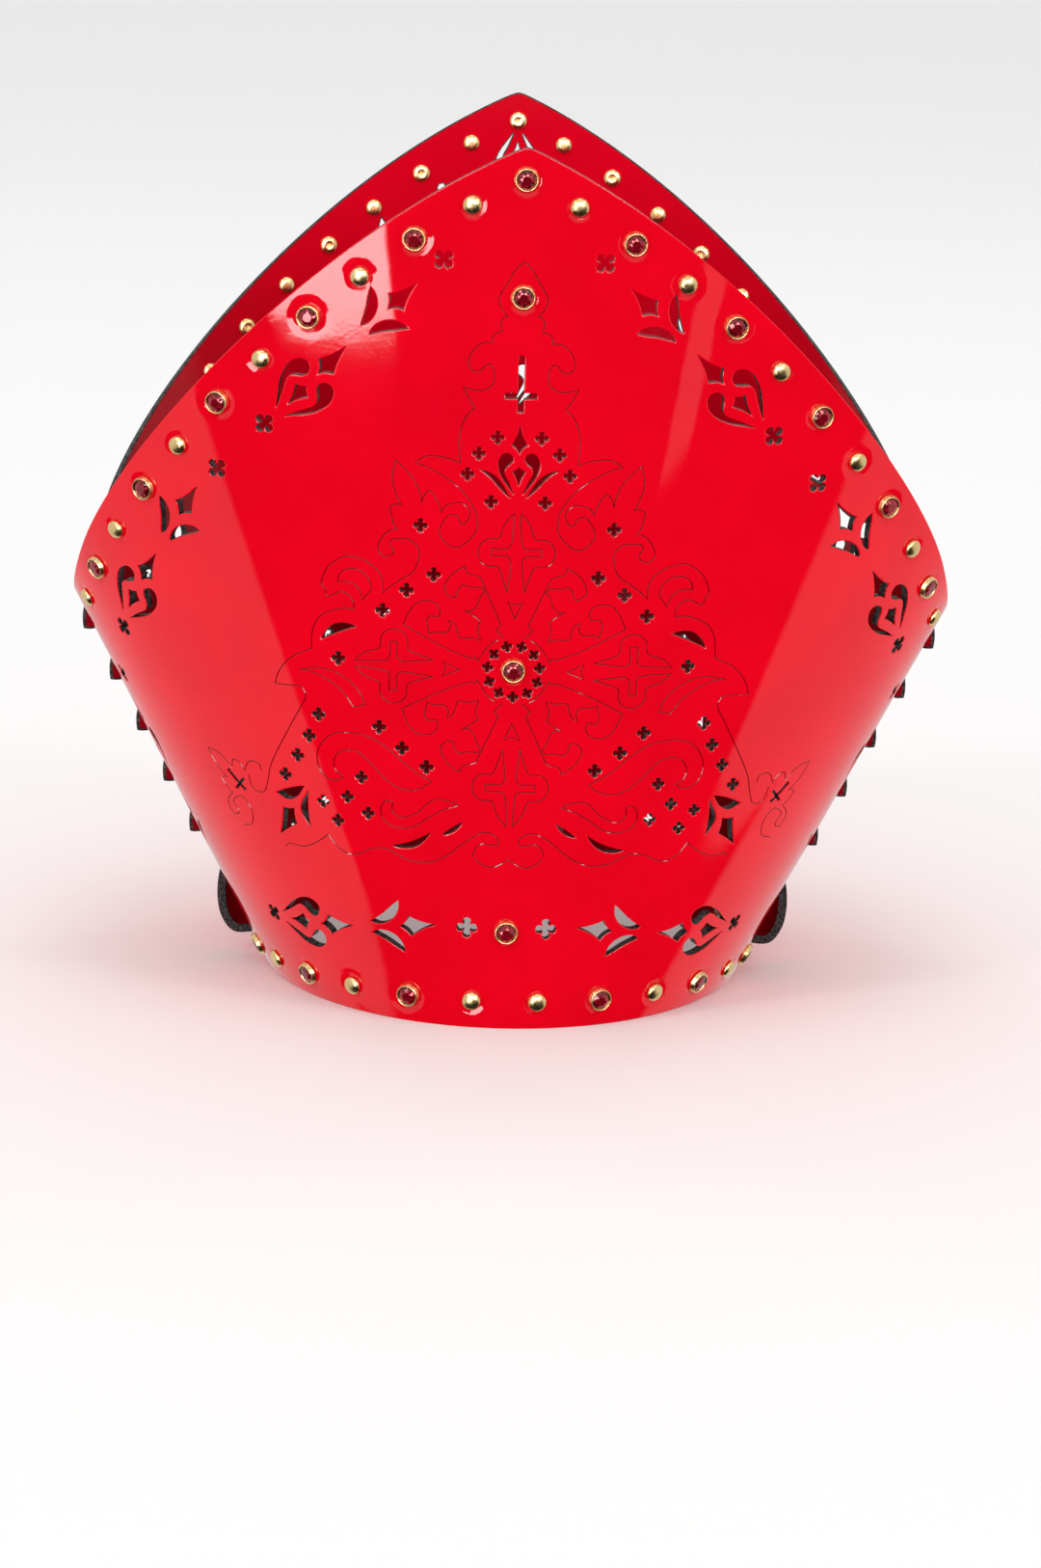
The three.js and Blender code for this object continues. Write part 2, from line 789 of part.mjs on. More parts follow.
/** Named mesh of a leather panel. */
function panelMesh(geometry, name) {
  const mesh = new THREE.Mesh(geometry, new THREE.MeshStandardMaterial(LEATHER_LOOK));
  mesh.name = name;
  return mesh;
}

const sideRise = Math.hypot(FLARE_HALF_WIDTH - RIM_HALF_WIDTH, FLARE_LEVEL) / FLARE_LEVEL;
const frontFace = new LeatherFace(0);
const backFace = new LeatherFace((LEATHER + SEAM_GAP) * sideRise);
const frontPlaces = rivetPlaces(frontFace);
const backPlaces = rivetPlaces(backFace);

const front = new THREE.Group();
front.add(panelMesh(frontPanel(frontFace, frontPlaces), "front_panel"));
front.add(rivetRow(frontFace, frontPlaces.crystals, crystalRivet(), CRYSTAL_LOOK, "front_crystal_rivet"));
front.add(rivetRow(frontFace, frontPlaces.domes, domeRivet(), BRASS_LOOK, "front_dome_rivet"));

const back = new THREE.Group();
back.add(rivetRow(backFace, backPlaces.crystals, crystalRivet(), CRYSTAL_LOOK, "back_crystal_rivet"));
back.rotation.z = Math.PI;

const mitre = new THREE.Group();
mitre.add(front, panelMesh(backPanel(backFace, frontFace, backPlaces), "back_panel"), back);

export default mitre;
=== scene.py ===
"""Bishop mitre of bent, pierced and engraved patent leather, dressed for rendering.

Sizes are in millimetres until a mesh is made, which is in metres. The flat leather has
u across and v up, with zero at the middle of the rim.
"""

import logging
import math
from dataclasses import dataclass, field
from enum import Enum, IntEnum

import bpy
import numpy as np
from mathutils import Matrix, Vector
from mathutils.geometry import delaunay_2d_cdt


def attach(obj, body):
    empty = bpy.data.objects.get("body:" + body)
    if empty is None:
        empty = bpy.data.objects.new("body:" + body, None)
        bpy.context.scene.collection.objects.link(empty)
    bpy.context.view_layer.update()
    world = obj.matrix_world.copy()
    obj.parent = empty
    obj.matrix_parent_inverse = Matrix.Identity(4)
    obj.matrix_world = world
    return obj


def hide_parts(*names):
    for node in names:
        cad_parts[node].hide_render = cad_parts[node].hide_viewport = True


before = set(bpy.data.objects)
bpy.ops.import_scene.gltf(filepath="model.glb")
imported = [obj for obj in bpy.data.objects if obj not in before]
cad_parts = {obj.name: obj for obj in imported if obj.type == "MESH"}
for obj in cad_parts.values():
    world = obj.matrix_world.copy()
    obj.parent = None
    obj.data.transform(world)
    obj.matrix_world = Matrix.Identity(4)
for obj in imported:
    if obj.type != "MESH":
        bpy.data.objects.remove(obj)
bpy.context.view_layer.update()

LOG = logging.getLogger("mitre")
MM = 0.001
SIDE = math.pi / 2
LAST_ANGLE = 1.2 * SIDE

Array = np.ndarray
Profile = tuple[tuple[float, float], ...]
Colour = tuple[float, float, float]


# ---------------------------------------------------------------- small array helpers
def unit(vectors: Array) -> Array:
    """Vectors along the last axis divided by their lengths."""
    return vectors / np.maximum(np.linalg.norm(vectors, axis=-1, keepdims=True), 1e-12)


def smooth_step(low: float, high: float, values: Array) -> Array:
    """Cubic ease from 0 at low to 1 at high: 3t^2 - 2t^3 with t clipped to 0..1."""
    t = np.clip((values - low) / (high - low), 0.0, 1.0)
    return t * t * (3.0 - 2.0 * t)


def smooth_run(points: Array, spacing: float) -> Array:
    """Curve through a run of points.

    Catmull-Rom: each span is a cubic whose slope at a point is half the step between
    that point's neighbours.

    Args:
        points: control points, one per row.
        spacing: greatest distance between samples.

    Returns:
        Samples from the first point to the last, both included.
    """
    points = np.asarray(points, float)
    if len(points) == 2:
        count = max(int(np.linalg.norm(points[1] - points[0]) / spacing), 1)
        share = np.linspace(0.0, 1.0, count + 1)[:, None]
        return points[0] + share * (points[1] - points[0])
    first = 2 * points[0] - points[1]
    last = 2 * points[-1] - points[-2]
    knots = np.vstack([first, points, last])
    parts = []
    for a, b, c, d in zip(knots, knots[1:], knots[2:], knots[3:]):
        count = max(int(np.linalg.norm(c - b) / spacing), 1)
        t = (np.arange(count) / count)[:, None]
        parts.append(
            0.5
            * (
                2 * b
                + (c - a) * t
                + (2 * a - 5 * b + 4 * c - d) * t**2
                + (3 * b - 3 * c + d - a) * t**3
            )
        )
    parts.append(points[-1:])
    return np.vstack(parts)


def bowed(start: Array, end: Array, bow: float, spacing: float) -> Array:
    """Shallow arc from start to end: the chord plus bow * 4t(1 - t) to its left."""
    start, end = np.asarray(start, float), np.asarray(end, float)
    run = end - start
    length = float(np.linalg.norm(run))
    count = max(int(length / spacing), 2)
    t = np.linspace(0.0, 1.0, count + 1)[:, None]
    left = np.array([-run[1], run[0]]) / max(length, 1e-9)
    return start + t * run + 4 * t * (1 - t) * bow * left


def signed_area(loop: Array) -> float:
    """Area of a closed loop, positive where it runs anticlockwise."""
    ahead = np.roll(loop, -1, axis=0)
    return 0.5 * float(np.sum(loop[:, 0] * ahead[:, 1] - loop[:, 1] * ahead[:, 0]))


def loop_sides(loop: Array) -> Array:
    """Mitred outward side at each corner of an anticlockwise loop."""
    before = unit(loop - np.roll(loop, 1, axis=0))
    after = unit(np.roll(loop, -1, axis=0) - loop)
    side_a = np.column_stack([before[:, 1], -before[:, 0]])
    side_b = np.column_stack([after[:, 1], -after[:, 0]])
    joint = 1.0 + np.sum(side_a * side_b, axis=1, keepdims=True)
    return (side_a + side_b) / np.maximum(joint, 0.55)


def inside(points: Array, loop: Array) -> Array:
    """Whether points lie in a closed loop, by counting crossings of a level ray."""
    low, high = loop.min(axis=0), loop.max(axis=0)
    result = np.zeros(len(points), bool)
    near = np.flatnonzero(np.all((points >= low) & (points <= high), axis=1))
    if len(near) == 0:
        return result
    x, y = points[near, 0][:, None], points[near, 1][:, None]
    a, b = loop, np.roll(loop, -1, axis=0)
    crosses = (a[:, 1] > y) != (b[:, 1] > y)
    rise = np.where(np.abs(b[:, 1] - a[:, 1]) < 1e-12, 1e-12, b[:, 1] - a[:, 1])
    reach = a[:, 0] + (y - a[:, 1]) * (b[:, 0] - a[:, 0]) / rise
    result[near] = np.sum(crosses & (x < reach), axis=1) % 2 == 1
    return result


def line_distance(points: Array, starts: Array, ends: Array) -> Array:
    """Distance of each point to the nearest of many straight pieces."""
    best = np.full(len(points), np.inf)
    run = ends - starts
    length = np.maximum(np.sum(run**2, axis=1), 1e-12)
    for low in range(0, len(points), 400):
        p = points[low : low + 400, None, :]
        share = np.clip(np.sum((p - starts) * run, axis=2) / length, 0.0, 1.0)
        gap = np.linalg.norm(p - (starts + share[..., None] * run), axis=2)
        best[low : low + 400] = gap.min(axis=1)
    return best


# ---------------------------------------------------------------- sizes and surfaces
class Facing(Enum):
    """Which way a panel faces; the value is the turn of its flat pattern about +Z."""

    FRONT = 0.0
    BACK = math.pi


class Slot(IntEnum):
    """Place of each leather finish in a piece's list of materials."""

    OUTSIDE = 0
    INSIDE = 1
    EDGE = 2
    ENGRAVED = 3
    # painted shade: slot of a darkened copy of the red for faces that lie in shade
    SHADED = 4


@dataclass(frozen=True)
class MitreSizes:
    """Driving sizes of the mitre, in millimetres."""

    leather: float = 3.0
    rim_half_width: float = 85.0
    rim_half_depth: float = 101.0
    flare_level: float = 125.0
    flare_half_width: float = 151.0
    flare_half_depth: float = 105.0
    apex_height: float = 300.0
    apex_round: float = 1.5
    apex_slope: float = 0.455
    shoulder_reach: float = 165.0
    shoulder_height: float = 147.0
    seam_length: float = 146.0
    flap_reach: float = 10.0
    seam_gap: float = 0.4
    tab_count: int = 5
    tab_base: float = 10.0
    tab_pitch: float = 20.7
    tab_reach: float = 4.6
    top_tab_drop: float = 9.5
    slot_gap: float = 0.4
    opening_height: float = 30.0
    opening_reach: float = 27.0
    opening_foot: float = 8.0
    tongue_margin: float = 3.0
    tongue_gap: float = 0.8
    scoop_reach: float = 8.0
    scoop_depth: float = 8.0
    edge_margin: float = 9.5
    edge_stations: int = 11
    edge_end_steps: float = 1.5
    rim_stations: int = 6
    rim_end_steps: float = 1.2
    field_stones: tuple[float, ...] = (0.837, 0.418, 0.114)

    @property
    def back_inset(self) -> float:
        """How much narrower the back panel is, so that it fits inside the front's."""
        flare = self.flare_half_width - self.rim_half_width
        rise = math.hypot(flare, self.flare_level) / self.flare_level
        return (self.leather + self.seam_gap) * rise

    def tab_middles(self) -> list[float]:
        """Distances up the seam of the middles of the hook tabs."""
        top = self.seam_length - self.top_tab_drop
        return [top - i * self.tab_pitch for i in range(self.tab_count)]


@dataclass
class BentLeather:
    """Outer face of a panel, bent along straight rulings without stretching.

    A ruling joins the points of the rim ellipse and of the flare ellipse that face the
    same way. Rolled out, each ruling keeps its length and the angle to the next one.
    """

    sizes: MitreSizes
    facing: Facing
    steps: int = 1500
    angles: Array = field(init=False)
    turns: Array = field(init=False)
    feet: Array = field(init=False)

    def __post_init__(self) -> None:
        """Sums up the flat place and turn of each ruling from the middle outwards."""
        inset = self.sizes.back_inset if self.facing is Facing.BACK else 0.0
        self.half_widths = (self.sizes.rim_half_width - inset, self.sizes.flare_half_width - inset)
        self.angles = np.linspace(0.0, LAST_ANGLE, self.steps + 1)
        foot, along, level, _ = self.rulings(self.angles)
        swing = np.sign(
            np.sum(along[1:] * level[:-1], axis=1) - np.sum(along[:-1] * level[:-1], axis=1)
        )
        spread = 2 * np.arcsin(np.linalg.norm(along[1:] - along[:-1], axis=1) / 2)
        self.turns = np.concatenate([[0.0], np.cumsum(swing * spread)])
        middle = (self.turns[1:] + self.turns[:-1]) / 2
        move = foot[1:] - foot[:-1]
        up = np.sum(move * unit(along[1:] + along[:-1]), axis=1)
        side = np.sqrt(np.maximum(np.sum(move**2, axis=1) - up**2, 0.0))
        u = np.cumsum(up * np.sin(middle) + side * np.cos(middle))
        v = np.cumsum(up * np.cos(middle) - side * np.sin(middle))
        self.feet = np.vstack([[0.0, 0.0], np.column_stack([u, v])])
        self.seam_corner = self.flat(np.array([SIDE]), np.array([self.sizes.seam_length]))[0]

    def rulings(self, angle: Array) -> tuple[Array, Array, Array, Array]:
        """Foot, direction, level tangent and outward side of the rulings.

        An ellipse point that faces the angle is (a^2 sin, -b^2 cos) over the root of
        (a sin)^2 + (b cos)^2.
        """
        sine, cosine = np.sin(angle), np.cos(angle)
        rows = []
        depths = (self.sizes.rim_half_depth, self.sizes.flare_half_depth)
        for width, depth in zip(self.half_widths, depths):
            reach = np.hypot(width * sine, depth * cosine)
            rows.append(np.stack([width**2 * sine / reach, -(depth**2) * cosine / reach], -1))
        zero = np.zeros_like(sine)
        foot = np.concatenate([rows[0], zero[..., None]], axis=-1)
        rise = np.full_like(sine, self.sizes.flare_level)[..., None]
        along = unit(np.concatenate([rows[1] - rows[0], rise], axis=-1))
        level = np.stack([cosine, sine, zero], axis=-1)
        outward = unit(np.cross(level, along))
        return foot, along, level, outward

    def flat(self, angle: Array, distance: Array) -> Array:
        """Flat place of the points at distances up the rulings of signed angles."""
        size = np.abs(angle)
        turn = np.interp(size, self.angles, self.turns)
        u = np.interp(size, self.angles, self.feet[:, 0]) + distance * np.sin(turn)
        v = np.interp(size, self.angles, self.feet[:, 1]) + distance * np.cos(turn)
        return np.column_stack([np.where(angle < 0, -u, u), v])

    def locate(self, places: Array) -> tuple[Array, Array, Array]:
        """Signed angle, distance up the ruling and signed turn of flat places.

        Bisection on the side of the ruling that a place lies on.
        """
        u, v = np.abs(places[:, 0]), places[:, 1]
        low, high = np.zeros(len(u)), np.full(len(u), LAST_ANGLE)
        for _ in range(40):
            middle = (low + high) / 2
            turn = np.interp(middle, self.angles, self.turns)
            foot_u = np.interp(middle, self.angles, self.feet[:, 0])
            foot_v = np.interp(middle, self.angles, self.feet[:, 1])
            beyond = (u - foot_u) * np.cos(turn) - (v - foot_v) * np.sin(turn) > 0
            low, high = np.where(beyond, middle, low), np.where(beyond, high, middle)
        distance = (u - foot_u) * np.sin(turn) + (v - foot_v) * np.cos(turn)
        sign = np.where(places[:, 0] < 0, -1.0, 1.0)
        return sign * low, distance, sign * turn

    def bend(self, places: Array, lift: Array | float = 0.0) -> tuple[Array, Array, Array, Array]:
        """Bent places and their frames.

        Args:
            places: flat places, one per row.
            lift: heights above the outer face.

        Returns:
            Points, and the unit directions of u, of v and outwards.
        """
        angle, distance, turn = self.locate(places)
        foot, along, _, outward = self.rulings(angle)
        across = np.cross(along, outward)
        sine, cosine = np.sin(turn)[:, None], np.cos(turn)[:, None]
        lift = np.broadcast_to(np.asarray(lift, float), (len(places),))[:, None]
        points = foot + along * distance[:, None] + outward * lift
        du = across * cosine + along * sine
        dv = -across * sine + along * cosine
        if self.facing is Facing.BACK:
            flip = np.array([-1.0, -1.0, 1.0])
            return points * flip, du * flip, dv * flip, outward * flip
        return points, du, dv, outward

    def edge_height(self, u: Array) -> Array:
        """Height of the top edge on the flat leather.

        A slope that steepens with the square of the reach as far as the shoulder, and
        from there eases down to the seam's upper corner.
        """
        s = self.sizes
        across = np.hypot(u, s.apex_round) - s.apex_round
        drop = s.apex_height - s.apex_slope * s.shoulder_reach - s.shoulder_height
        crown = s.apex_height - s.apex_slope * across - drop * (across / s.shoulder_reach) ** 2
        slope = s.apex_slope + 2 * drop / s.shoulder_reach
        run = self.seam_corner[0] - s.shoulder_reach
        ease = (self.seam_corner[1] - s.shoulder_height + slope * run) / run**2
        past = across - s.shoulder_reach
        side = s.shoulder_height - slope * past + ease * past**2
        return np.where(across <= s.shoulder_reach, crown, side)

    def angle_past(self, length: float) -> float:
        """Angle from the seam of a ruling whose foot lies a length past the seam."""
        return length * self.half_widths[0] / self.sizes.rim_half_depth**2

    def edge_reach(self, angle: float) -> float:
        """Length of a ruling from the rim to the top edge, by bisection."""
        low, high = 0.0, 2 * self.sizes.apex_height
        for _ in range(40):
            middle = (low + high) / 2
            place = self.flat(np.array([angle]), np.array([middle]))[0]
            below = place[1] < float(self.edge_height(place[:1])[0])
            low, high = (middle, high) if below else (low, middle)
        return low

    def outline(self, end_angle: float, spacing: float) -> Array:
        """Closed anticlockwise outline of the flat panel: rim, side, top edge, side."""
        count = int(2 * end_angle * self.sizes.rim_half_depth / spacing)
        rim = self.flat(np.linspace(-end_angle, end_angle, count), np.zeros(count))
        reach = self.edge_reach(end_angle)
        up = np.linspace(0.0, reach, int(reach / spacing))[1:-1]
        right = self.flat(np.full(len(up), end_angle), up)
        corner = self.flat(np.array([end_angle]), np.array([reach]))[0, 0]
        count = int(1.25 * corner / spacing)
        share = np.linspace(-1.0, 1.0, 2 * count + 1)
        u = -corner * np.sign(share) * np.abs(share) ** 1.15
        top = np.column_stack([u, self.edge_height(u)])
        left = right[::-1] * np.array([-1.0, 1.0])
        return np.vstack([rim, right, top, left])

    def beside_seam(self, up: Array, past: Array, sign: float) -> Array:
        """Flat places given up the seam from the rim and past the seam to the flap."""
        turn = float(np.interp(SIDE, self.angles, self.turns))
        place = self.flat(np.full(len(up), SIDE), up)
        place += np.outer(past, [math.cos(turn), -math.sin(turn)])
        return place * np.array([sign, 1.0])

    def seam_frame(self, sign: float) -> tuple[Array, Array]:
        """Foot of the side seam, and its directions up, outwards and to the back."""
        foot, along, _, outward = self.rulings(np.array([sign * SIDE]))
        depth = np.cross(along, outward) * sign
        return foot[0], np.vstack([along, outward, depth])


# ---------------------------------------------------------------- ornament
Stroke = tuple[tuple[tuple[float, float], ...], ...]

# Engraved lines of the right half, each as runs that meet in sharp corners
CROWN_STROKES: tuple[Stroke, ...] = (
    (
        ((0, 263), (3, 260), (5.5, 255.5), (7.8, 251.5), (7.5, 248), (5, 244.8)),
        ((6.5, 244.5), (7.3, 242.5), (6.5, 240)),
        ((9, 239), (10, 237.5), (10, 236)),
        ((13, 235.8), (15.5, 234), (17.3, 231), (17.5, 228), (15.5, 226.3), (13.5, 226.5), (12, 228.5)),
        ((10.5, 229), (9.3, 227.5), (8.8, 225), (9.2, 222.5), (12, 220.2), (15, 220), (19, 221)),
        ((17.3, 217.5), (15, 214.2)),
        ((16.5, 213), (18.5, 210), (19.7, 206), (20, 202), (19.5, 195.5)),
        ((22, 196.5), (27, 197.5), (31, 197.3), (34.7, 195)),
        ((31, 194), (25, 191), (20, 187.5), (16, 183), (13.6, 178), (14, 172), (18.5, 167.3)),
        ((21, 167), (23.5, 168.2), (25.5, 170.5), (25.8, 173), (23, 177.8), (20, 177.5), (19, 175.2)),
        ((17.5, 175), (15.8, 178.5), (17, 181), (19.5, 182.2), (24, 181), (25.5, 178.5)),
        ((26, 181), (28, 184.5), (29.3, 186), (31, 184.5), (32, 181.5)),
        ((32.7, 185), (34.5, 189), (38, 193), (41, 195.5)),
        ((42, 190), (41.5, 186.5), (40, 182.5), (38.3, 180)),
        ((39, 180.8), (41.5, 180.5), (42.7, 179.5)),
        ((42, 176.5), (41.2, 174), (40, 172.2)),
        ((43, 171.5), (46, 167.5), (46.3, 164.5), (44, 162.7), (41, 164.3), (42.5, 167.5)),
        ((41.5, 168.8), (38, 169), (35, 168.5), (32.4, 165), (34, 158.5), (38, 155.5), (41.5, 152.9),
         (44.5, 150.2)),
        ((44.5, 151.5),),
    ),
)
SCROLL_STROKES: tuple[Stroke, ...] = (
    (
        (
            (44.5, 151.5), (44.5, 154), (46, 157.5), (50, 160.5), (54, 161.8), (57.5, 162), (61, 160),
            (64, 157), (65.8, 152), (64.3, 150), (63.5, 147.5), (59, 149.7), (56, 148.5), (54.3, 146),
            (54.5, 143.8),
        ),
        ((58, 144), (62, 142.8), (66, 140.5), (68.2, 137), (69, 133), (69, 129)),
        ((71, 128),),
    ),
    (
        (
            (48.5, 151), (49, 154), (51, 156.5), (54, 157.8), (57.5, 157.3), (59.5, 155.5), (60, 153),
        ),
        ((57.5, 153.3), (54.7, 152.7), (52.4, 150.6), (51.3, 147.3)),
        ((48.5, 151),),
    ),
    (
        ((71, 128), (75, 126), (79, 122.5), (81.5, 118.5), (82.5, 115)),
        ((78, 115), (74, 115.3), (72.3, 114.8), (71.2, 113), (71.3, 111), (72.5, 108.8)),
        ((79, 97), (85, 85.5), (86.8, 79), (88.5, 74.5), (91, 73.5), (93.8, 74.6), (95.2, 79)),
    ),
)
SIDE_FLEUR_STROKES: tuple[Stroke, ...] = (
    (
        ((89.5, 82), (90, 84), (92.5, 84.7), (95, 83.8), (96.8, 80)),
        ((97.5, 81.5), (99.5, 83.3), (101.5, 83.5), (102.8, 80)),
        ((106, 83), (109, 84.3), (113.5, 84.8)),
        ((111.5, 81), (109, 78), (105, 75.3)),
        ((106.5, 75.5), (108.5, 74.3)),
        ((106.5, 71.5), (103.8, 69.8)),
        ((106, 67.5), (107, 65), (106, 62.5), (104.5, 61.2), (102.5, 61.7), (101.8, 63.3), (104.2, 66)),
        ((103.5, 67.5), (101, 69.3), (98.5, 69.3), (95.2, 65), (96, 60), (100.5, 58)),
    ),
)
LEAF_STROKES: tuple[Stroke, ...] = (
    (
        (
            (26.5, 86), (33, 89.5), (40, 95), (45, 98.5), (50, 100.3), (56, 100.8), (61, 99.8), (65, 96.5),
            (67, 92.5), (67, 89), (65.5, 85.5), (63, 83.5), (60, 83.3), (57.2, 85),
        ),
        (
            (60, 86.5), (61, 90), (59.5, 93), (56, 94.7), (52, 94), (48, 91), (43, 86), (38, 83), (34, 82.5),
            (30, 83.5), (26.5, 86),
        ),
    ),
    (
        (
            (17.5, 78.2), (20, 79.5), (25, 80), (28, 78), (31, 75), (35, 73), (38, 72.8), (40, 75),
            (39.8, 77.8),
        ),
        (
            (42.5, 78), (44, 75), (43, 71.5), (40, 69.3), (36, 69), (32, 70), (27, 73.5), (22, 76.5),
            (17.5, 78.2),
        ),
    ),
    (
        ((50, 111), (51.5, 114.5), (55, 118.5), (60, 121.3), (66, 122.5), (74, 121)),
        ((70, 121), (64, 119), (58, 115), (54, 110)),
        ((50, 111),),
    ),
    (
        ((12, 61), (11, 64), (8.5, 65.5), (7, 65)),
        ((3.5, 65), (4, 67.5), (6.5, 69), (9, 69), (12, 67.5), (16, 64.5), (20, 61), (25, 58.3), (30, 57.5),
         (35, 58), (39, 60), (43.5, 61.2), (48, 60), (52, 58), (56, 57.5), (60, 59.5), (63.3, 63.3)),
        ((66, 61), (70, 58.3), (74, 56.8), (79.5, 56.8), (81, 55.5)),
    ),
    (
        ((0, 60), (3, 58), (6, 57), (9, 58), (11.5, 60)),
    ),
)
# One arm of the great cross, to the right of its middle; the other arms are turned
CROSS_ARM_STROKES: tuple[Stroke, ...] = (
    (
        ((27, 2.9), (30, 3.9), (35.5, 6), (35.7, 9.2), (37, 11.7), (40.5, 12.9), (43.5, 11.7), (45, 9.2),
         (45.2, 6), (50, 4.2), (54, 1)),
        ((43.6, 1.7), (41.8, 3.4), (41.8, 8.4)),
        ((39.2, 8.4),),
        ((39.2, 2.9), (37.6, 1.8), (27, 2.9)),
    ),
    (
        ((18, 0), (23.8, 2.6)),
        ((22.9, 0.6), (23, 0)),
    ),
)
# Upper right quarter between the arms: the bracket and the leaf of the cross
QUARTER_STROKES: tuple[Stroke, ...] = (
    (
        ((12, 5.3), (13, 3.6), (13.9, 4.8), (15.4, 4.4), (24, 7.5), (32.7, 11.7), (40.3, 15.8)),
        ((38.6, 20), (35.8, 23.8), (32.1, 25), (28.4, 24.1), (26.9, 21.3), (27.5, 19.1)),
        ((30.9, 19.4), (31.8, 17.9), (31.4, 14.8), (30.9, 12.7)),
        ((28.4, 13.6), (25.3, 13.3), (23.8, 14.2), (23.1, 16), (23.8, 18.2)),
        ((21.6, 17), (20.7, 14.8), (20, 11.9), (17.9, 11.7), (15.4, 12), (12.2, 11.1)),
        ((13.4, 15.7), (12.3, 18.2)),
        ((15.1, 20.4), (18.5, 22.2)),
        ((15.7, 21.9), (13.6, 24.1), (12.7, 27.2), (11.1, 29)),
        ((11.9, 30.6), (16, 30.6), (19.1, 31.3), (20.7, 29.6), (21, 27.3), (22.5, 26.5), (25.3, 28.4),
         (25.6, 30.9), (24, 34), (21.6, 36.4), (18.5, 38.3)),
        ((17.6, 35.8), (14.8, 35.2), (12.7, 34.3)),
        ((4.9, 16.9),),
        ((6.5, 15.2), (3.7, 12.1)),
    ),
)
# The quarter's strokes are drawn larger than they are cut, by this scale
QUARTER_SCALE = 0.925
CROSS_MIDDLE = 125.3


@dataclass(frozen=True)
class Motif:
    """A pierced fleur: its kind, the place of its tip and its direction in degrees."""

    full: bool
    u: float
    v: float
    turn: float
    length: float = 0.0


MOTIFS = (
    Motif(False, 35.0, 255.0, -44.0),
    Motif(True, 58.0, 233.0, -46.5),
    Motif(False, 110.7, 180.8, -56.4),
    Motif(True, 128.4, 154.3, -56.2),
    Motif(True, 168.0, 85.0, -114.0),
    Motif(False, 151.0, 51.0, -114.0),
    Motif(False, 23.8, 35.7, -8.8),
    Motif(True, 54.2, 31.0, -9.4),
)
# Cross-shaped holes: place and half-size, with the arms upright or slanting
UPRIGHT_CROSSES = (
    (7.3, 204.5, 2.3), (13.4, 199, 2.3), (17, 192, 2.3), (9, 182.8, 2.3), (32.3, 174, 2.45),
    (27.5, 157.5, 2.45), (36.5, 151.7, 2.45), (44.5, 144.3, 2.45), (59.5, 126.5, 2.45), (66.5, 106, 2.45),
    (70, 98, 2.45), (74.5, 90.3, 2.45), (79.5, 82.5, 2.45), (45, 103.8, 2.45), (37, 97, 2.45),
    (28.5, 91, 2.45), (51, 85.5, 2.3), (56, 78, 2.3), (65, 75, 2.3), (48.5, 73, 2.3), (59.5, 69, 2.3),
    (13.5, 35.5, 3.6),
)
SLANTING_CROSSES = (
    (26.5, 263, 3.6), (86, 205, 3.6), (103, 188, 3.6), (150, 121, 3.6), (164, 95.5, 3.6), (92.5, 25, 3.3),
)
# Slivers and crescents of the right half, as two bowed sides each
SLIVERS = (
    ((53.3, 138), (65.7, 132.5), 3.4, 0.2),
    ((26.5, 68.3), (40, 62.5), -0.8, -3.1),
    ((15.7, 72.5), (22.7, 67.5), 0.4, -1.2),
)


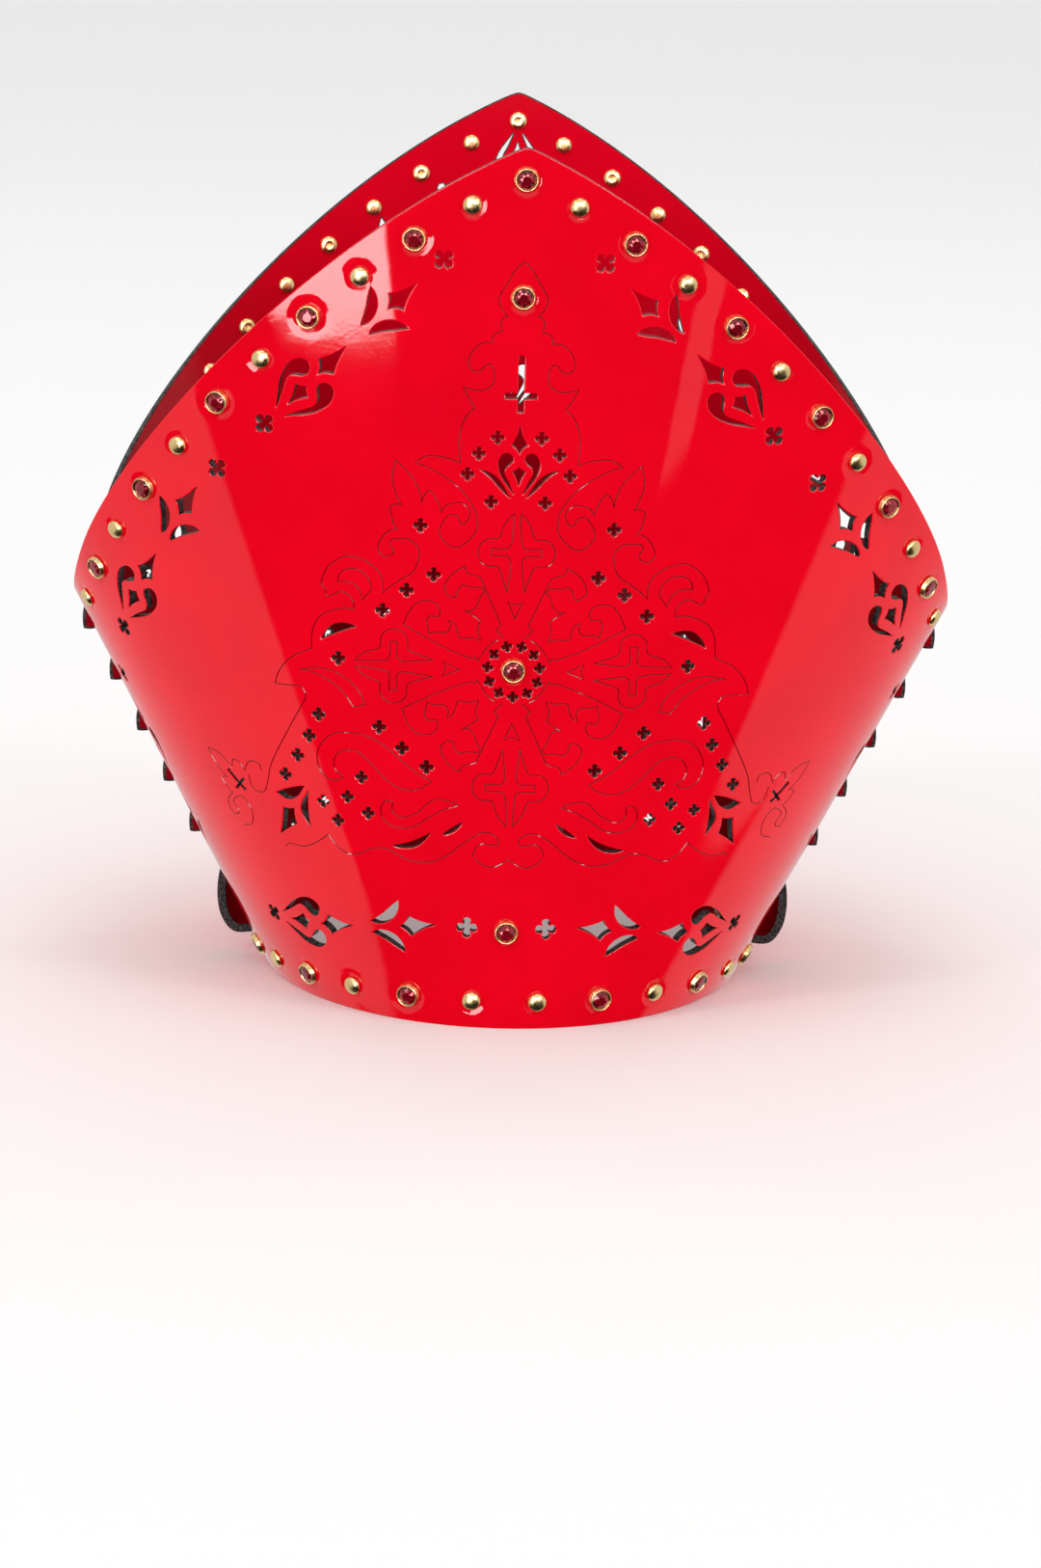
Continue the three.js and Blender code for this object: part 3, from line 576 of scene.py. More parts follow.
@dataclass
class Ornament:
    """Pierced and engraved pattern of a panel on the flat leather."""

    crown_fleur: bool = False
    spacing: float = 0.8
    fleur_length: float = 33.4
    half_length: float = 24.0
    ring_crosses: int = 11
    ring_radius: float = 8.8
    ring_half: float = 1.95
    circle_radius: float = 12.0

    def place(self, loop: Array, u: float, v: float, turn: float) -> Array:
        """Loop turned by an angle in degrees and moved to a flat place."""
        a = math.radians(turn)
        spin = np.array([[math.cos(a), math.sin(a)], [-math.sin(a), math.cos(a)]])
        return loop @ spin + np.array([u, v])

    def kite(self, start: float, wide: float, end: float, half: float, bow: float) -> Array:
        """Four-cornered star along +u with hollow sides."""
        corners = [(start, 0), (wide, -half), (end, 0), (wide, half)]
        sides = [
            bowed(a, b, bow, self.spacing)[:-1] for a, b in zip(corners, corners[1:] + corners[:1])
        ]
        return np.vstack(sides)

    def leaf(self) -> Array:
        """Comma-shaped leaf of a full fleur: a round head drawn out to a fine tail."""
        outer = [(32.9, 1.8), (28.2, 5.4), (24.9, 7.7), (21, 9.2), (17.5, 9.4), (14.5, 7.9), (13.5, 5.6)]
        inner = [(14.7, 3.2), (17, 2.6), (18.7, 3.9), (20.4, 5.8), (22.8, 6.4), (27.3, 4.2), (32.9, 1.8)]
        return smooth_run(np.array(outer + inner), self.spacing)[:-1]

    def crescent(self) -> Array:
        """Half-moon leaf of a half fleur."""
        straight = smooth_run(np.array([(12.5, 9.3), (15.4, 7.4), (18.6, 5.0), (23.8, 2.0)]), self.spacing)
        round_side = smooth_run(
            np.array([(23.8, 2.0), (21.2, 1.1), (18.1, 1.5), (15, 3.3), (13, 6.2), (12.5, 9.3)]), self.spacing
        )
        return np.vstack([straight[:-1], round_side[:-1]])

    def fleur(self, motif: Motif) -> list[Array]:
        """Holes of one fleur, laid on the flat leather."""
        if motif.full:
            side = self.leaf()
            shapes = [
                self.kite(0, 10.1, 14, 3.6, 0.55),
                self.kite(19.7, 21.9, 28.9, 3.1, 0.4),
                side,
                side * [1, -1],
            ]
            scale = (motif.length or self.fleur_length) / 33.4
        else:
            side = self.crescent()
            shapes = [self.kite(0, 9.6, 13.4, 3.6, 0.55), side, side * [1, -1]]
            scale = (motif.length or self.half_length) / 24.0
        return [self.place(shape * scale, motif.u, motif.v, motif.turn) for shape in shapes]

    def small_cross(self, u: float, v: float, half: float, turn: float) -> Array:
        """Cross-shaped hole: four arms that swell towards their rounded ends."""
        side = [(0.33, 0.28), (0.6, 0.41), (0.86, 0.34)]
        arm = np.array([(u, -v) for u, v in side] + [(1, 0)] + side[::-1])
        arms = [self.place(arm * half, 0, 0, quarter * 90) for quarter in range(4)]
        return self.place(np.vstack(arms), u, v, turn)

    def long_cross(self) -> Array:
        """Long narrow cross with its short end down."""
        half, bar, span = 1.0, 218.5, 5.3
        right = [(half, 232), (-half, 232)]
        left = [(-half, bar + half), (-span, bar + half), (-span, bar - half), (-half, bar - half)]
        left.append((-half, 213))
        mirrored = [(-u, v) for u, v in reversed(left)]
        corners = np.array(right + left + mirrored, float)
        sides = [
            bowed(a, b, 0.0, 1.2)[:-1] for a, b in zip(corners, np.roll(corners, -1, axis=0))
        ]
        return np.vstack(sides)

    def fine_leaf(self) -> Array:
        """Thin curved sliver below the little fleur of the crown."""
        outer = smooth_run(np.array([(13.4, 193.9), (9.4, 190.9), (6.4, 187.6), (2.5, 184)]), self.spacing)
        inner = smooth_run(np.array([(2.5, 184), (5.6, 189.2), (8.8, 192.3), (13.4, 193.9)]), self.spacing)
        return np.vstack([outer[:-1], inner[:-1]])

    def corner_fleur(self) -> list[Array]:
        """Half fleur in the lower corner, which points up and to the middle."""
        kite = [(83, 59.4), (76.6, 70.5), (81, 70), (75.7, 64.7)]
        middle = np.mean(kite, axis=0)
        kite = sorted(kite, key=lambda p: math.atan2(p[1] - middle[1], p[0] - middle[0]))
        star = np.vstack(
            [bowed(a, b, 0.35, self.spacing)[:-1] for a, b in zip(kite, kite[1:] + kite[:1])]
        )
        upper = np.vstack(
            [
                smooth_run(np.array([(72.2, 79.4), (75, 75.2), (79, 73.3), (83.5, 75)]), self.spacing)[:-1],
                bowed((83.5, 75), (72.2, 79.4), -0.6, self.spacing)[:-1],
            ]
        )
        lower = np.vstack(
            [
                smooth_run(np.array([(70.7, 78.2), (73.8, 71), (70.2, 64.5)]), self.spacing)[:-1],
                bowed((70.2, 64.5), (70.7, 78.2), -0.5, self.spacing)[:-1],
            ]
        )
        return [star, upper, lower]

    def side_cross(self) -> Array:
        """Small slanting long cross at the side scrolls."""
        long_arm = np.array([(-0.55, 0.55), (-0.55, 6.6), (0.55, 6.6), (0.55, 0.55)])
        short = np.array([(-0.55, 0.55), (-0.55, 3), (0.55, 3), (0.55, 0.55)])
        arms = [long_arm] + [self.place(short, 0, 0, turn) for turn in (-90, 180, 90)]
        return self.place(np.vstack(arms), 99.7, 74.5, -51)

    def sliver(self, start: Array, end: Array, high: float, low: float) -> Array:
        """Crescent between two points, with a bow on either side."""
        upper = bowed(start, end, high, self.spacing)[:-1]
        lower = bowed(end, start, -low, self.spacing)[:-1]
        return np.vstack([upper, lower])

    def holes(self) -> list[Array]:
        """All pierced outlines of a panel."""
        half: list[Array] = []
        for motif in MOTIFS:
            half += self.fleur(motif)
        half += self.corner_fleur()
        half += [self.small_cross(u, v, r, 0) for u, v, r in UPRIGHT_CROSSES]
        half += [self.small_cross(u, v, r, 45) for u, v, r in SLANTING_CROSSES]
        half += [self.sliver(*row) for row in SLIVERS]
        half += [self.fine_leaf(), self.side_cross()]
        loops = half + [loop * [-1, 1] for loop in half]
        loops += self.fleur(Motif(True, 0.0, 209.3, -90.0, 24.5)) + [self.long_cross()]
        if self.crown_fleur:
            loops += self.fleur(Motif(True, 0.0, 257.3, 90.0, 28.4))
        for i in range(self.ring_crosses):
            turn = -90 + 360 * i / self.ring_crosses
            u = self.ring_radius * math.cos(math.radians(turn))
            v = CROSS_MIDDLE + self.ring_radius * math.sin(math.radians(turn))
            loops.append(self.small_cross(u, v, self.ring_half, turn))
        return [loop if signed_area(loop) > 0 else loop[::-1] for loop in loops]

    def chain(self, stroke: Stroke, spacing: float) -> Array:
        """Samples along a stroke; each run starts where the last one ended."""
        parts = []
        last = None
        for run in stroke:
            points = list(run) if last is None else [last, *run]
            parts.append(smooth_run(np.array(points, float), spacing)[:-1])
            last = run[-1]
        parts.append(np.array([last], float))
        return np.vstack(parts)

    def lines(self, spacing: float = 1.1) -> list[Array]:
        """All engraved lines of a panel."""
        half = [
            self.chain(stroke, spacing)
            for group in (CROWN_STROKES, SCROLL_STROKES, SIDE_FLEUR_STROKES, LEAF_STROKES)
            for stroke in group
        ]
        lines = half + [line * [-1, 1] for line in half]
        middle = np.array([0.0, CROSS_MIDDLE])
        for stroke in CROSS_ARM_STROKES:
            arm = self.chain(stroke, spacing)
            for side in (arm, arm * [1, -1]):
                lines += [self.place(side, 0, 0, quarter * 90) + middle for quarter in range(4)]
        for stroke in QUARTER_STROKES:
            leaf = self.chain(stroke, spacing / QUARTER_SCALE) * QUARTER_SCALE
            for flip in ([1, 1], [-1, 1], [1, -1], [-1, -1]):
                lines.append(leaf * flip + middle)
        for start in (27.0, 117.0, 207.0, 297.0):
            turn = np.radians(np.linspace(start, start + 36, 12))
            arc = np.column_stack([np.cos(turn), np.sin(turn)])
            lines.append(self.circle_radius * arc + middle)
        return lines


# ---------------------------------------------------------------- finishes
@dataclass(frozen=True)
class PatentLeather:
    """Lacquered leather: even colour, clear coat, faint pebble and slow waves."""

    name: str
    colour: Colour
    base_roughness: float
    coat: float
    coat_roughness: float
    pebble: float
    waves: float
    # painted shade: where set, the colour darkens towards the rim
    paints_rim_shade: bool = False

    def build(self) -> bpy.types.Material:
        """Node material; noise on Object coordinates tilts base and coat together."""
        settings = {
            "Roughness": self.base_roughness,
            "Coat Weight": self.coat,
            "Coat Roughness": self.coat_roughness,
            "Coat IOR": 1.5,
            "Specular IOR Level": 0.0,
        }
        material, nodes, links, shader = new_material(self.name, settings)
        place = nodes.new("ShaderNodeTexCoord")
        tone = add_noise(nodes, links, place, 35.0, 3.0)
        low = tuple(c * 0.9 for c in self.colour)
        colour = add_ramp(nodes, links, tone.outputs["Fac"], (0.3, low), (0.7, self.colour))
        links.new(self.with_rim_shade(nodes, links, place, colour), shader.inputs["Base Color"])
        grain = add_noise(nodes, links, place, 750.0, 2.0)
        waves = add_noise(nodes, links, place, 45.0, 2.0)
        fine = add_bump(nodes, links, grain, self.pebble, None)
        bump = add_bump(nodes, links, waves, self.waves, fine)
        links.new(bump.outputs["Normal"], shader.inputs["Normal"])
        links.new(bump.outputs["Normal"], shader.inputs["Coat Normal"])
        return material

    def with_rim_shade(
        self,
        nodes: bpy.types.Nodes,
        links: bpy.types.NodeLinks,
        place: bpy.types.Node,
        colour: bpy.types.NodeSocket,
    ) -> bpy.types.NodeSocket:
        """The colour, on the inside darkened towards the rim as painted shade."""
        if not self.paints_rim_shade:
            return colour
        height = nodes.new("ShaderNodeSeparateXYZ")
        links.new(place.outputs["Object"], height.inputs["Vector"])
        # painted shade: full red from 0.27 m of height, falling to 0.22 of it at 0.13 m and below
        wear_and_rim_shade = nodes.new("ShaderNodeMapRange")
        wear_and_rim_shade.inputs["From Min"].default_value = 0.13
        wear_and_rim_shade.inputs["From Max"].default_value = 0.27
        wear_and_rim_shade.inputs["To Min"].default_value = 0.22
        links.new(height.outputs["Z"], wear_and_rim_shade.inputs["Value"])
        scale = nodes.new("ShaderNodeVectorMath")
        scale.operation = "SCALE"
        links.new(colour, scale.inputs[0])
        links.new(wear_and_rim_shade.outputs["Result"], scale.inputs["Scale"])
        return scale.outputs["Vector"]


@dataclass(frozen=True)
class CutEdge:
    """Burnished cut edge: dark pressed fibres with paler flecks."""

    name: str
    dark: Colour
    pale: Colour
    roughness: float

    def build(self) -> bpy.types.Material:
        """Node material; two noises mix the two tones and lift the fibres."""
        settings = {"Roughness": self.roughness, "Specular IOR Level": 0.2}
        material, nodes, links, shader = new_material(self.name, settings)
        place = nodes.new("ShaderNodeTexCoord")
        flecks = add_noise(nodes, links, place, 900.0, 4.0)
        colour = add_ramp(nodes, links, flecks.outputs["Fac"], (0.42, self.dark), (0.68, self.pale))
        links.new(colour, shader.inputs["Base Color"])
        fibres = add_noise(nodes, links, place, 2200.0, 3.0)
        bump = add_bump(nodes, links, fibres, 0.00012, None)
        links.new(bump.outputs["Normal"], shader.inputs["Normal"])
        return material


@dataclass(frozen=True)
class PlatedMetal:
    """Gold-coloured plating, softly worn: tone and roughness drift slowly."""

    name: str
    bright: Colour
    deep: Colour
    smooth: float
    worn: float

    def build(self) -> bpy.types.Material:
        """Node material; one noise mixes two golds, another sets the roughness."""
        material, nodes, links, shader = new_material(self.name, {"Metallic": 1.0})
        place = nodes.new("ShaderNodeTexCoord")
        tone = add_noise(nodes, links, place, 260.0, 2.0)
        colour = add_ramp(nodes, links, tone.outputs["Fac"], (0.35, self.deep), (0.7, self.bright))
        links.new(colour, shader.inputs["Base Color"])
        wear_and_rim_shade = add_noise(nodes, links, place, 700.0, 3.0)
        spread = nodes.new("ShaderNodeMapRange")
        spread.inputs["To Min"].default_value = self.smooth
        spread.inputs["To Max"].default_value = self.worn
        links.new(wear_and_rim_shade.outputs["Fac"], spread.inputs["Value"])
        links.new(spread.outputs["Result"], shader.inputs["Roughness"])
        return material


@dataclass(frozen=True)
class CutCrystal:
    """Foil-backed crystal under a clear face: each facet has its own brightness of red, a painted glint for
    the light that the foil sends back.
    """

    name: str
    dark: Colour
    bright: Colour

    def build(self) -> bpy.types.Material:
        """Node material; a face attribute picks the painted glint, the brightness of red, of each facet."""
        settings = {
            "Metallic": 0.35,
            "Roughness": 0.08,
            "Coat Weight": 0.7,
            "Coat Roughness": 0.02,
            "Coat IOR": 1.5,
        }
        material, nodes, links, shader = new_material(self.name, settings)
        tone = nodes.new("ShaderNodeAttribute")
        tone.attribute_name = "facet_painted_glint"
        place = nodes.new("ShaderNodeTexCoord")
        depth = add_noise(nodes, links, place, 900.0, 1.0)
        blend = nodes.new("ShaderNodeMath")
        blend.operation = "MULTIPLY_ADD"
        blend.inputs[1].default_value = 0.3
        links.new(depth.outputs["Fac"], blend.inputs[0])
        links.new(tone.outputs["Fac"], blend.inputs[2])
        colour = add_ramp(nodes, links, blend.outputs["Value"], (0.1, self.dark), (1.0, self.bright))
        links.new(colour, shader.inputs["Base Color"])
        return material


def new_material(
    name: str, settings: dict[str, float]
) -> tuple[bpy.types.Material, bpy.types.Nodes, bpy.types.NodeLinks, bpy.types.Node]:
    """New node material.

    Args:
        name: name of the finish.
        settings: constants for the shader's own sockets.

    Returns:
        The material, its nodes, its links and its shader.
    """
    material = bpy.data.materials.new(name)
    material.use_nodes = True
    nodes, links = material.node_tree.nodes, material.node_tree.links
    shader = nodes["Principled BSDF"]
    for socket, value in settings.items():
        shader.inputs[socket].default_value = value
    return material, nodes, links, shader


def add_ramp(
    nodes: bpy.types.Nodes,
    links: bpy.types.NodeLinks,
    source: bpy.types.NodeSocket,
    low: tuple[float, Colour],
    high: tuple[float, Colour],
) -> bpy.types.NodeSocket:
    """Colour that runs from low to high, each a place from 0 to 1 and its colour."""
    ramp = nodes.new("ShaderNodeValToRGB")
    for stop, (place, colour) in zip(ramp.color_ramp.elements, (low, high)):
        stop.position = place
        stop.color = (*colour, 1.0)
    links.new(source, ramp.inputs["Fac"])
    return ramp.outputs["Color"]


def add_noise(
    nodes: bpy.types.Nodes,
    links: bpy.types.NodeLinks,
    place: bpy.types.Node,
    scale: float,
    detail: float,
) -> bpy.types.Node:
    """Noise node of a scale per metre on Object coordinates."""
    noise = nodes.new("ShaderNodeTexNoise")
    noise.inputs["Scale"].default_value = scale
    noise.inputs["Detail"].default_value = detail
    links.new(place.outputs["Object"], noise.inputs["Vector"])
    return noise


def add_bump(
    nodes: bpy.types.Nodes,
    links: bpy.types.NodeLinks,
    height: bpy.types.Node,
    distance: float,
    below: bpy.types.Node | None,
) -> bpy.types.Node:
    """Bump node of a height in metres, laid over another where one is given."""
    bump = nodes.new("ShaderNodeBump")
    bump.inputs["Strength"].default_value = 1.0
    bump.inputs["Distance"].default_value = distance
    links.new(height.outputs["Fac"], bump.inputs["Height"])
    if below is not None:
        links.new(below.outputs["Normal"], bump.inputs["Normal"])
    return bump


OUTER_RED = PatentLeather("red_patent", (0.93, 0.0006, 0.014), 0.42, 1.0, 0.03, 2.4e-6, 2.5e-5)
# painted shade: a dark copy of the red patent for faces in shade, on the hook tabs, the tongue and inside the
# big tab
PAINTED_SHADE_RED = PatentLeather("red_patent_painted_shade", (0.30, 0.0006, 0.009), 0.45, 0.5, 0.1, 3.0e-6, 5.0e-5)
# painted shade: this inside red darkens towards the rim (last argument)
INNER_RED = PatentLeather("red_patent_inside", (0.92, 0.0006, 0.018), 0.45, 0.5, 0.12, 3.0e-6, 5.0e-5, True)
ENGRAVED_RED = PatentLeather("red_patent_engraved", (0.22, 0.0008, 0.006), 0.35, 1.0, 0.06, 2.0e-6, 2.0e-5)
DARK_EDGE = CutEdge("cut_edge", (0.010, 0.008, 0.008), (0.11, 0.10, 0.097), 0.5)
GOLD = PlatedMetal("gold_plating", (0.98, 0.76, 0.38), (0.90, 0.62, 0.26), 0.2, 0.36)
RED_CRYSTAL = CutCrystal("red_crystal", (0.018, 0.0003, 0.002), (0.50, 0.004, 0.02))


# ---------------------------------------------------------------- mesh making
@dataclass
class MeshParts:
    """Points and faces of a piece while it is put together, in millimetres."""

    points: list[Array] = field(default_factory=list)
    faces: list[Array] = field(default_factory=list)
    slots: list[Array] = field(default_factory=list)
    normals: list[Array] = field(default_factory=list)
    count: int = 0

    def add(self, points: Array, faces: Array, slot: Array | int, normals: Array | None = None) -> None:
        """Adds a patch of equal-sided faces.

        Args:
            points: places in millimetres.
            faces: rows of indices into these points.
            slot: material number, one or one per face.
            normals: one per face corner, shaped (faces, corners, 3), or None for flat.
        """
        self.points.append(points)
        self.faces.append(faces + self.count)
        self.slots.append(np.broadcast_to(np.asarray(slot, np.int32), (len(faces),)))
        if normals is None:
            corners = points[faces]
            across = np.cross(corners[:, 1] - corners[:, 0], corners[:, -1] - corners[:, 0])
            if faces.shape[1] == 4:
                across = np.cross(corners[:, 2] - corners[:, 0], corners[:, 3] - corners[:, 1])
            normals = np.repeat(unit(across)[:, None, :], faces.shape[1], axis=1)
        self.normals.append(normals.reshape(-1, 3))
        self.count += len(points)

    def build(self, name: str, materials: list[bpy.types.Material]) -> bpy.types.Object:
        """Mesh object in metres with its own corner normals, patches joined where they meet."""
        mesh = bpy.data.meshes.new(name)
        totals = np.concatenate([np.full(len(f), f.shape[1]) for f in self.faces])
        corners = np.concatenate([f.reshape(-1) for f in self.faces])
        used, corners = np.unique(corners, return_inverse=True)
        places = np.vstack(self.points)[used]
        _, kept, joined = np.unique(np.round(places, 5), axis=0, return_index=True, return_inverse=True)
        points, corners = places[kept] * MM, joined.reshape(-1)[corners.reshape(-1)]
        mesh.vertices.add(len(points))
        mesh.vertices.foreach_set("co", points.astype(np.float32).reshape(-1))
        mesh.loops.add(len(corners))
        mesh.loops.foreach_set("vertex_index", corners.astype(np.int32))
        mesh.polygons.add(len(totals))
        starts = np.concatenate([[0], np.cumsum(totals)[:-1]])
        mesh.polygons.foreach_set("loop_start", starts.astype(np.int32))
        mesh.polygons.foreach_set("material_index", np.concatenate(self.slots).astype(np.int32))
        mesh.polygons.foreach_set("use_smooth", np.ones(len(totals), bool))
        for material in materials:
            mesh.materials.append(material)
        mesh.update(calc_edges=True)
        mesh.normals_split_custom_set(unit(np.vstack(self.normals)))
        piece = bpy.data.objects.new(name, mesh)
        bpy.context.scene.collection.objects.link(piece)
        return piece


def settle(piece: bpy.types.Object, nodes: list[str]) -> bpy.types.Object:
    """Fixes a piece to the part: its body and the solids it replaces."""
    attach(piece, "root")
    if nodes:
        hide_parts(*nodes)
    LOG.info("%s: %d faces", piece.name, len(piece.data.polygons))
    return piece


# ---------------------------------------------------------------- rivets
@dataclass(frozen=True)
class RivetPlaces:
    """Flat places of a panel's crystal and dome rivets."""

    crystals: Array
    domes: Array

    @classmethod
    def on(cls, leather: BentLeather) -> "RivetPlaces":
        """Spaces the rivets evenly along the top edge and the rim.

        Stations alternate between domes and crystals on lines that keep a margin from
        the edges; the middle line has its own crystals.
        """
        s = leather.sizes
        share = np.linspace(0.0, 1.0, 121)
        u = leather.seam_corner[0] * share
        edge = np.column_stack([u, leather.edge_height(u)])
        rim = leather.flat(np.maximum(SIDE * share, 1e-9), np.zeros(121))
        edge_line = cls.margin(edge, s.edge_margin)
        edge_line[0] = (0.0, s.apex_height - s.edge_margin - s.apex_round / 2)
        rim_line = cls.margin(rim, -s.edge_margin)
        edge_run = cls.lengths(edge_line)
        rim_run = cls.lengths(rim_line)
        edge_at = np.arange(1, s.edge_stations + 1) * edge_run[-1] / (s.edge_stations + s.edge_end_steps)
        rim_at = (np.arange(s.rim_stations) + 0.5) * rim_run[-1] / (s.rim_stations - 0.5 + s.rim_end_steps)
        edge_places = cls.along(edge_line, edge_run, edge_at)
        rim_places = cls.along(rim_line, rim_run, rim_at)
        middle = np.array([(0.0, up * s.apex_height) for up in s.field_stones])
        crystals = np.vstack([edge_places[1::2], rim_places[1::2]])
        domes = np.vstack([edge_places[0::2], rim_places[0::2]])
        mirror = np.array([-1.0, 1.0])
        return cls(
            np.vstack([middle, edge_line[:1], crystals, crystals * mirror]),
            np.vstack([domes, domes * mirror]),
        )

    @staticmethod
    def margin(places: Array, inside_by: float) -> Array:
        """Line beside a line of places, to the right of its run."""
        ahead = np.vstack([places[1:], places[-1:]])
        behind = np.vstack([places[:1], places[:-1]])
        run = unit(ahead - behind)
        return places + np.column_stack([run[:, 1], -run[:, 0]]) * inside_by

    @staticmethod
    def lengths(line: Array) -> Array:
        """Distance along a line to each of its places."""
        return np.concatenate([[0.0], np.cumsum(np.linalg.norm(np.diff(line, axis=0), axis=1))])

    @staticmethod
    def along(line: Array, run: Array, at: Array) -> Array:
        """Places at distances along a line."""
        return np.column_stack([np.interp(at, run, line[:, 0]), np.interp(at, run, line[:, 1])])


@dataclass
class RivetSet:
    """Rivets of one panel: heads outside, caps inside, and the stones."""

    leather: BentLeather
    places: RivetPlaces
    label: str
    sides: int = 40
    bezel_profile: Profile = (
        (1.3, -3.0), (1.3, -0.15), (3.8, -0.25), (4.2, -0.05), (4.25, 0.2), (4.1, 0.5), (3.95, 0.9),
        (3.86, 1.3), (3.7, 1.56), (3.48, 1.6), (3.3, 1.46), (3.18, 1.2), (3.12, 0.9), (0.0, 0.8),
    )
    dome_profile: Profile = (
        (1.2, -3.0), (1.2, -0.15), (2.8, -0.3), (3.15, -0.15), (3.27, 0.15), (3.22, 0.55), (2.98, 1.0),
        (2.5, 1.4), (1.8, 1.7), (0.9, 1.88), (0.0, 1.93),
    )
    dimple_profile: Profile = (
        (3.2, -2.9), (3.26, -3.2), (3.15, -3.6), (2.75, -3.98), (2.1, -4.22), (1.45, -4.3), (1.1, -4.2),
        (0.85, -4.16), (0.6, -4.22), (0.4, -4.05), (0.3, -3.75), (0.0, -3.6),
    )
    plain_profile: Profile = (
        (2.95, -2.9), (3.02, -3.2), (2.92, -3.6), (2.5, -4.02), (1.8, -4.3), (0.95, -4.43), (0.0, -4.45),
    )

    def turn_profile(self, profile: Profile) -> tuple[Array, Array, Array]:
        """Turned shape: the profile carried round the axis.

        Returns:
            Points, faces and a normal for each point, square to the smoothed profile.
        """
        rows = smooth_run(np.array(profile, float), 0.28)
        rows[:, 0] = np.maximum(rows[:, 0], 0.0)
        rows[-1, 0] = 0.012
        turn = np.linspace(0.0, 2 * math.pi, self.sides, endpoint=False)
        radius, height = rows[:, 0][:, None], rows[:, 1][:, None]
        heights = np.broadcast_to(height, (len(rows), self.sides))
        points = np.stack([radius * np.cos(turn), radius * np.sin(turn), heights], -1)
        slope = np.gradient(rows, axis=0)
        side = unit(np.column_stack([slope[:, 1], -slope[:, 0]]))
        normals = np.stack(
            [
                side[:, :1] * np.cos(turn),
                side[:, :1] * np.sin(turn),
                np.broadcast_to(side[:, 1:], (len(rows), self.sides)),
            ],
            -1,
        )
        i, j = np.meshgrid(np.arange(len(rows) - 1), np.arange(self.sides), indexing="ij")
        k = (j + 1) % self.sides
        a, b = i * self.sides + j, i * self.sides + k
        faces = np.stack([a, b, b + self.sides, a + self.sides], -1).reshape(-1, 4)
        return points.reshape(-1, 3), faces, normals.reshape(-1, 3)

    def stone(self) -> tuple[Array, Array, Array]:
        """Brilliant-cut crown: table, star, kite and girdle facets over a plain underside.

        Returns:
            Points, triangles and a painted glint, a brightness from 0 to 1, for each triangle.
        """
        eighth = np.arange(8) * math.pi / 4
        sixteenth = np.arange(16) * math.pi / 8
        rings = []
        for turn, radius, height in (
            (eighth, 1.5, 2.0),
            (eighth + math.pi / 8, 2.28, 1.78),
            (sixteenth, 3.16, 1.12),
        ):
            x, y = radius * np.cos(turn), radius * np.sin(turn)
            rings.append(np.column_stack([x, y, np.full(len(turn), height)]))
        points = np.vstack([[[0.0, 0.0, 2.0]], *rings, [[0.0, 0.0, 0.95]]])
        i = np.arange(8)
        table, star, girdle = 1 + i, 9 + i, 17 + 2 * i
        table_next = 1 + (i + 1) % 8
        girdle_mid, girdle_next = girdle + 1, 17 + (2 * i + 2) % 16
        star_last = 9 + (i - 1) % 8
        under = np.full(8, len(points) - 1)
        # painted glints: each ring of facets gets its own brightness; the underside stays dark
        parts = [
            (np.column_stack([np.zeros(8, int), table, table_next]), 0.30 + 0.10 * (i % 2)),
            (np.column_stack([table, star, table_next]), 0.95 - 0.5 * (i % 3 == 1)),
            (np.column_stack([table, girdle, star]), 0.12 + 0.25 * (i % 4 == 0)),
            (np.column_stack([table, star_last, girdle]), 0.55 - 0.4 * (i % 3 == 2)),
            (np.column_stack([star, girdle, girdle_mid]), 0.05 + 0.6 * (i % 5 == 2)),
            (np.column_stack([star, girdle_mid, girdle_next]), 0.2 + 0.3 * (i % 2)),
            (np.column_stack([under, girdle_mid, girdle]), np.zeros(8)),
            (np.column_stack([under, girdle_next, girdle_mid]), np.zeros(8)),
        ]
        faces = np.vstack([rows for rows, _ in parts])
        tones = np.concatenate([tone for _, tone in parts])
        return points, faces, tones

    def frames(self, places: Array) -> tuple[Array, Array]:
        """Middle of each rivet on the outer face and its axes, as rows of a matrix."""
        points, du, dv, outward = self.leather.bend(places)
        return points, np.stack([du, dv, outward], axis=1)

    def heads(self, places: Array, profile: Profile, spread: MeshParts) -> None:
        """Adds one turned shape, closed at both ends, at each place."""
        points, faces, normals = self.turn_profile(profile)
        middles, axes = self.frames(places)
        ring = np.arange(self.sides)[None, :]
        way = 1 if profile[-1][1] > profile[0][1] else -1
        faces, normals = faces[:, ::way], normals * way
        for middle, axis in zip(middles, axes):
            placed = points @ axis + middle
            spread.add(placed, faces, 0, (normals @ axis)[faces])
            spread.add(placed, ring[:, ::-way], 0)
            spread.add(placed, len(points) - self.sides + ring[:, ::way], 0)

    def solids(self, kind: str, count: int) -> list[str]:
        """Names of this panel's rivets of a kind, as far as the CAD has them."""
        names = [f"{self.label}_{kind}_rivet_{i:02d}" for i in range(1, count + 1)]
        return [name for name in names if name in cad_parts]

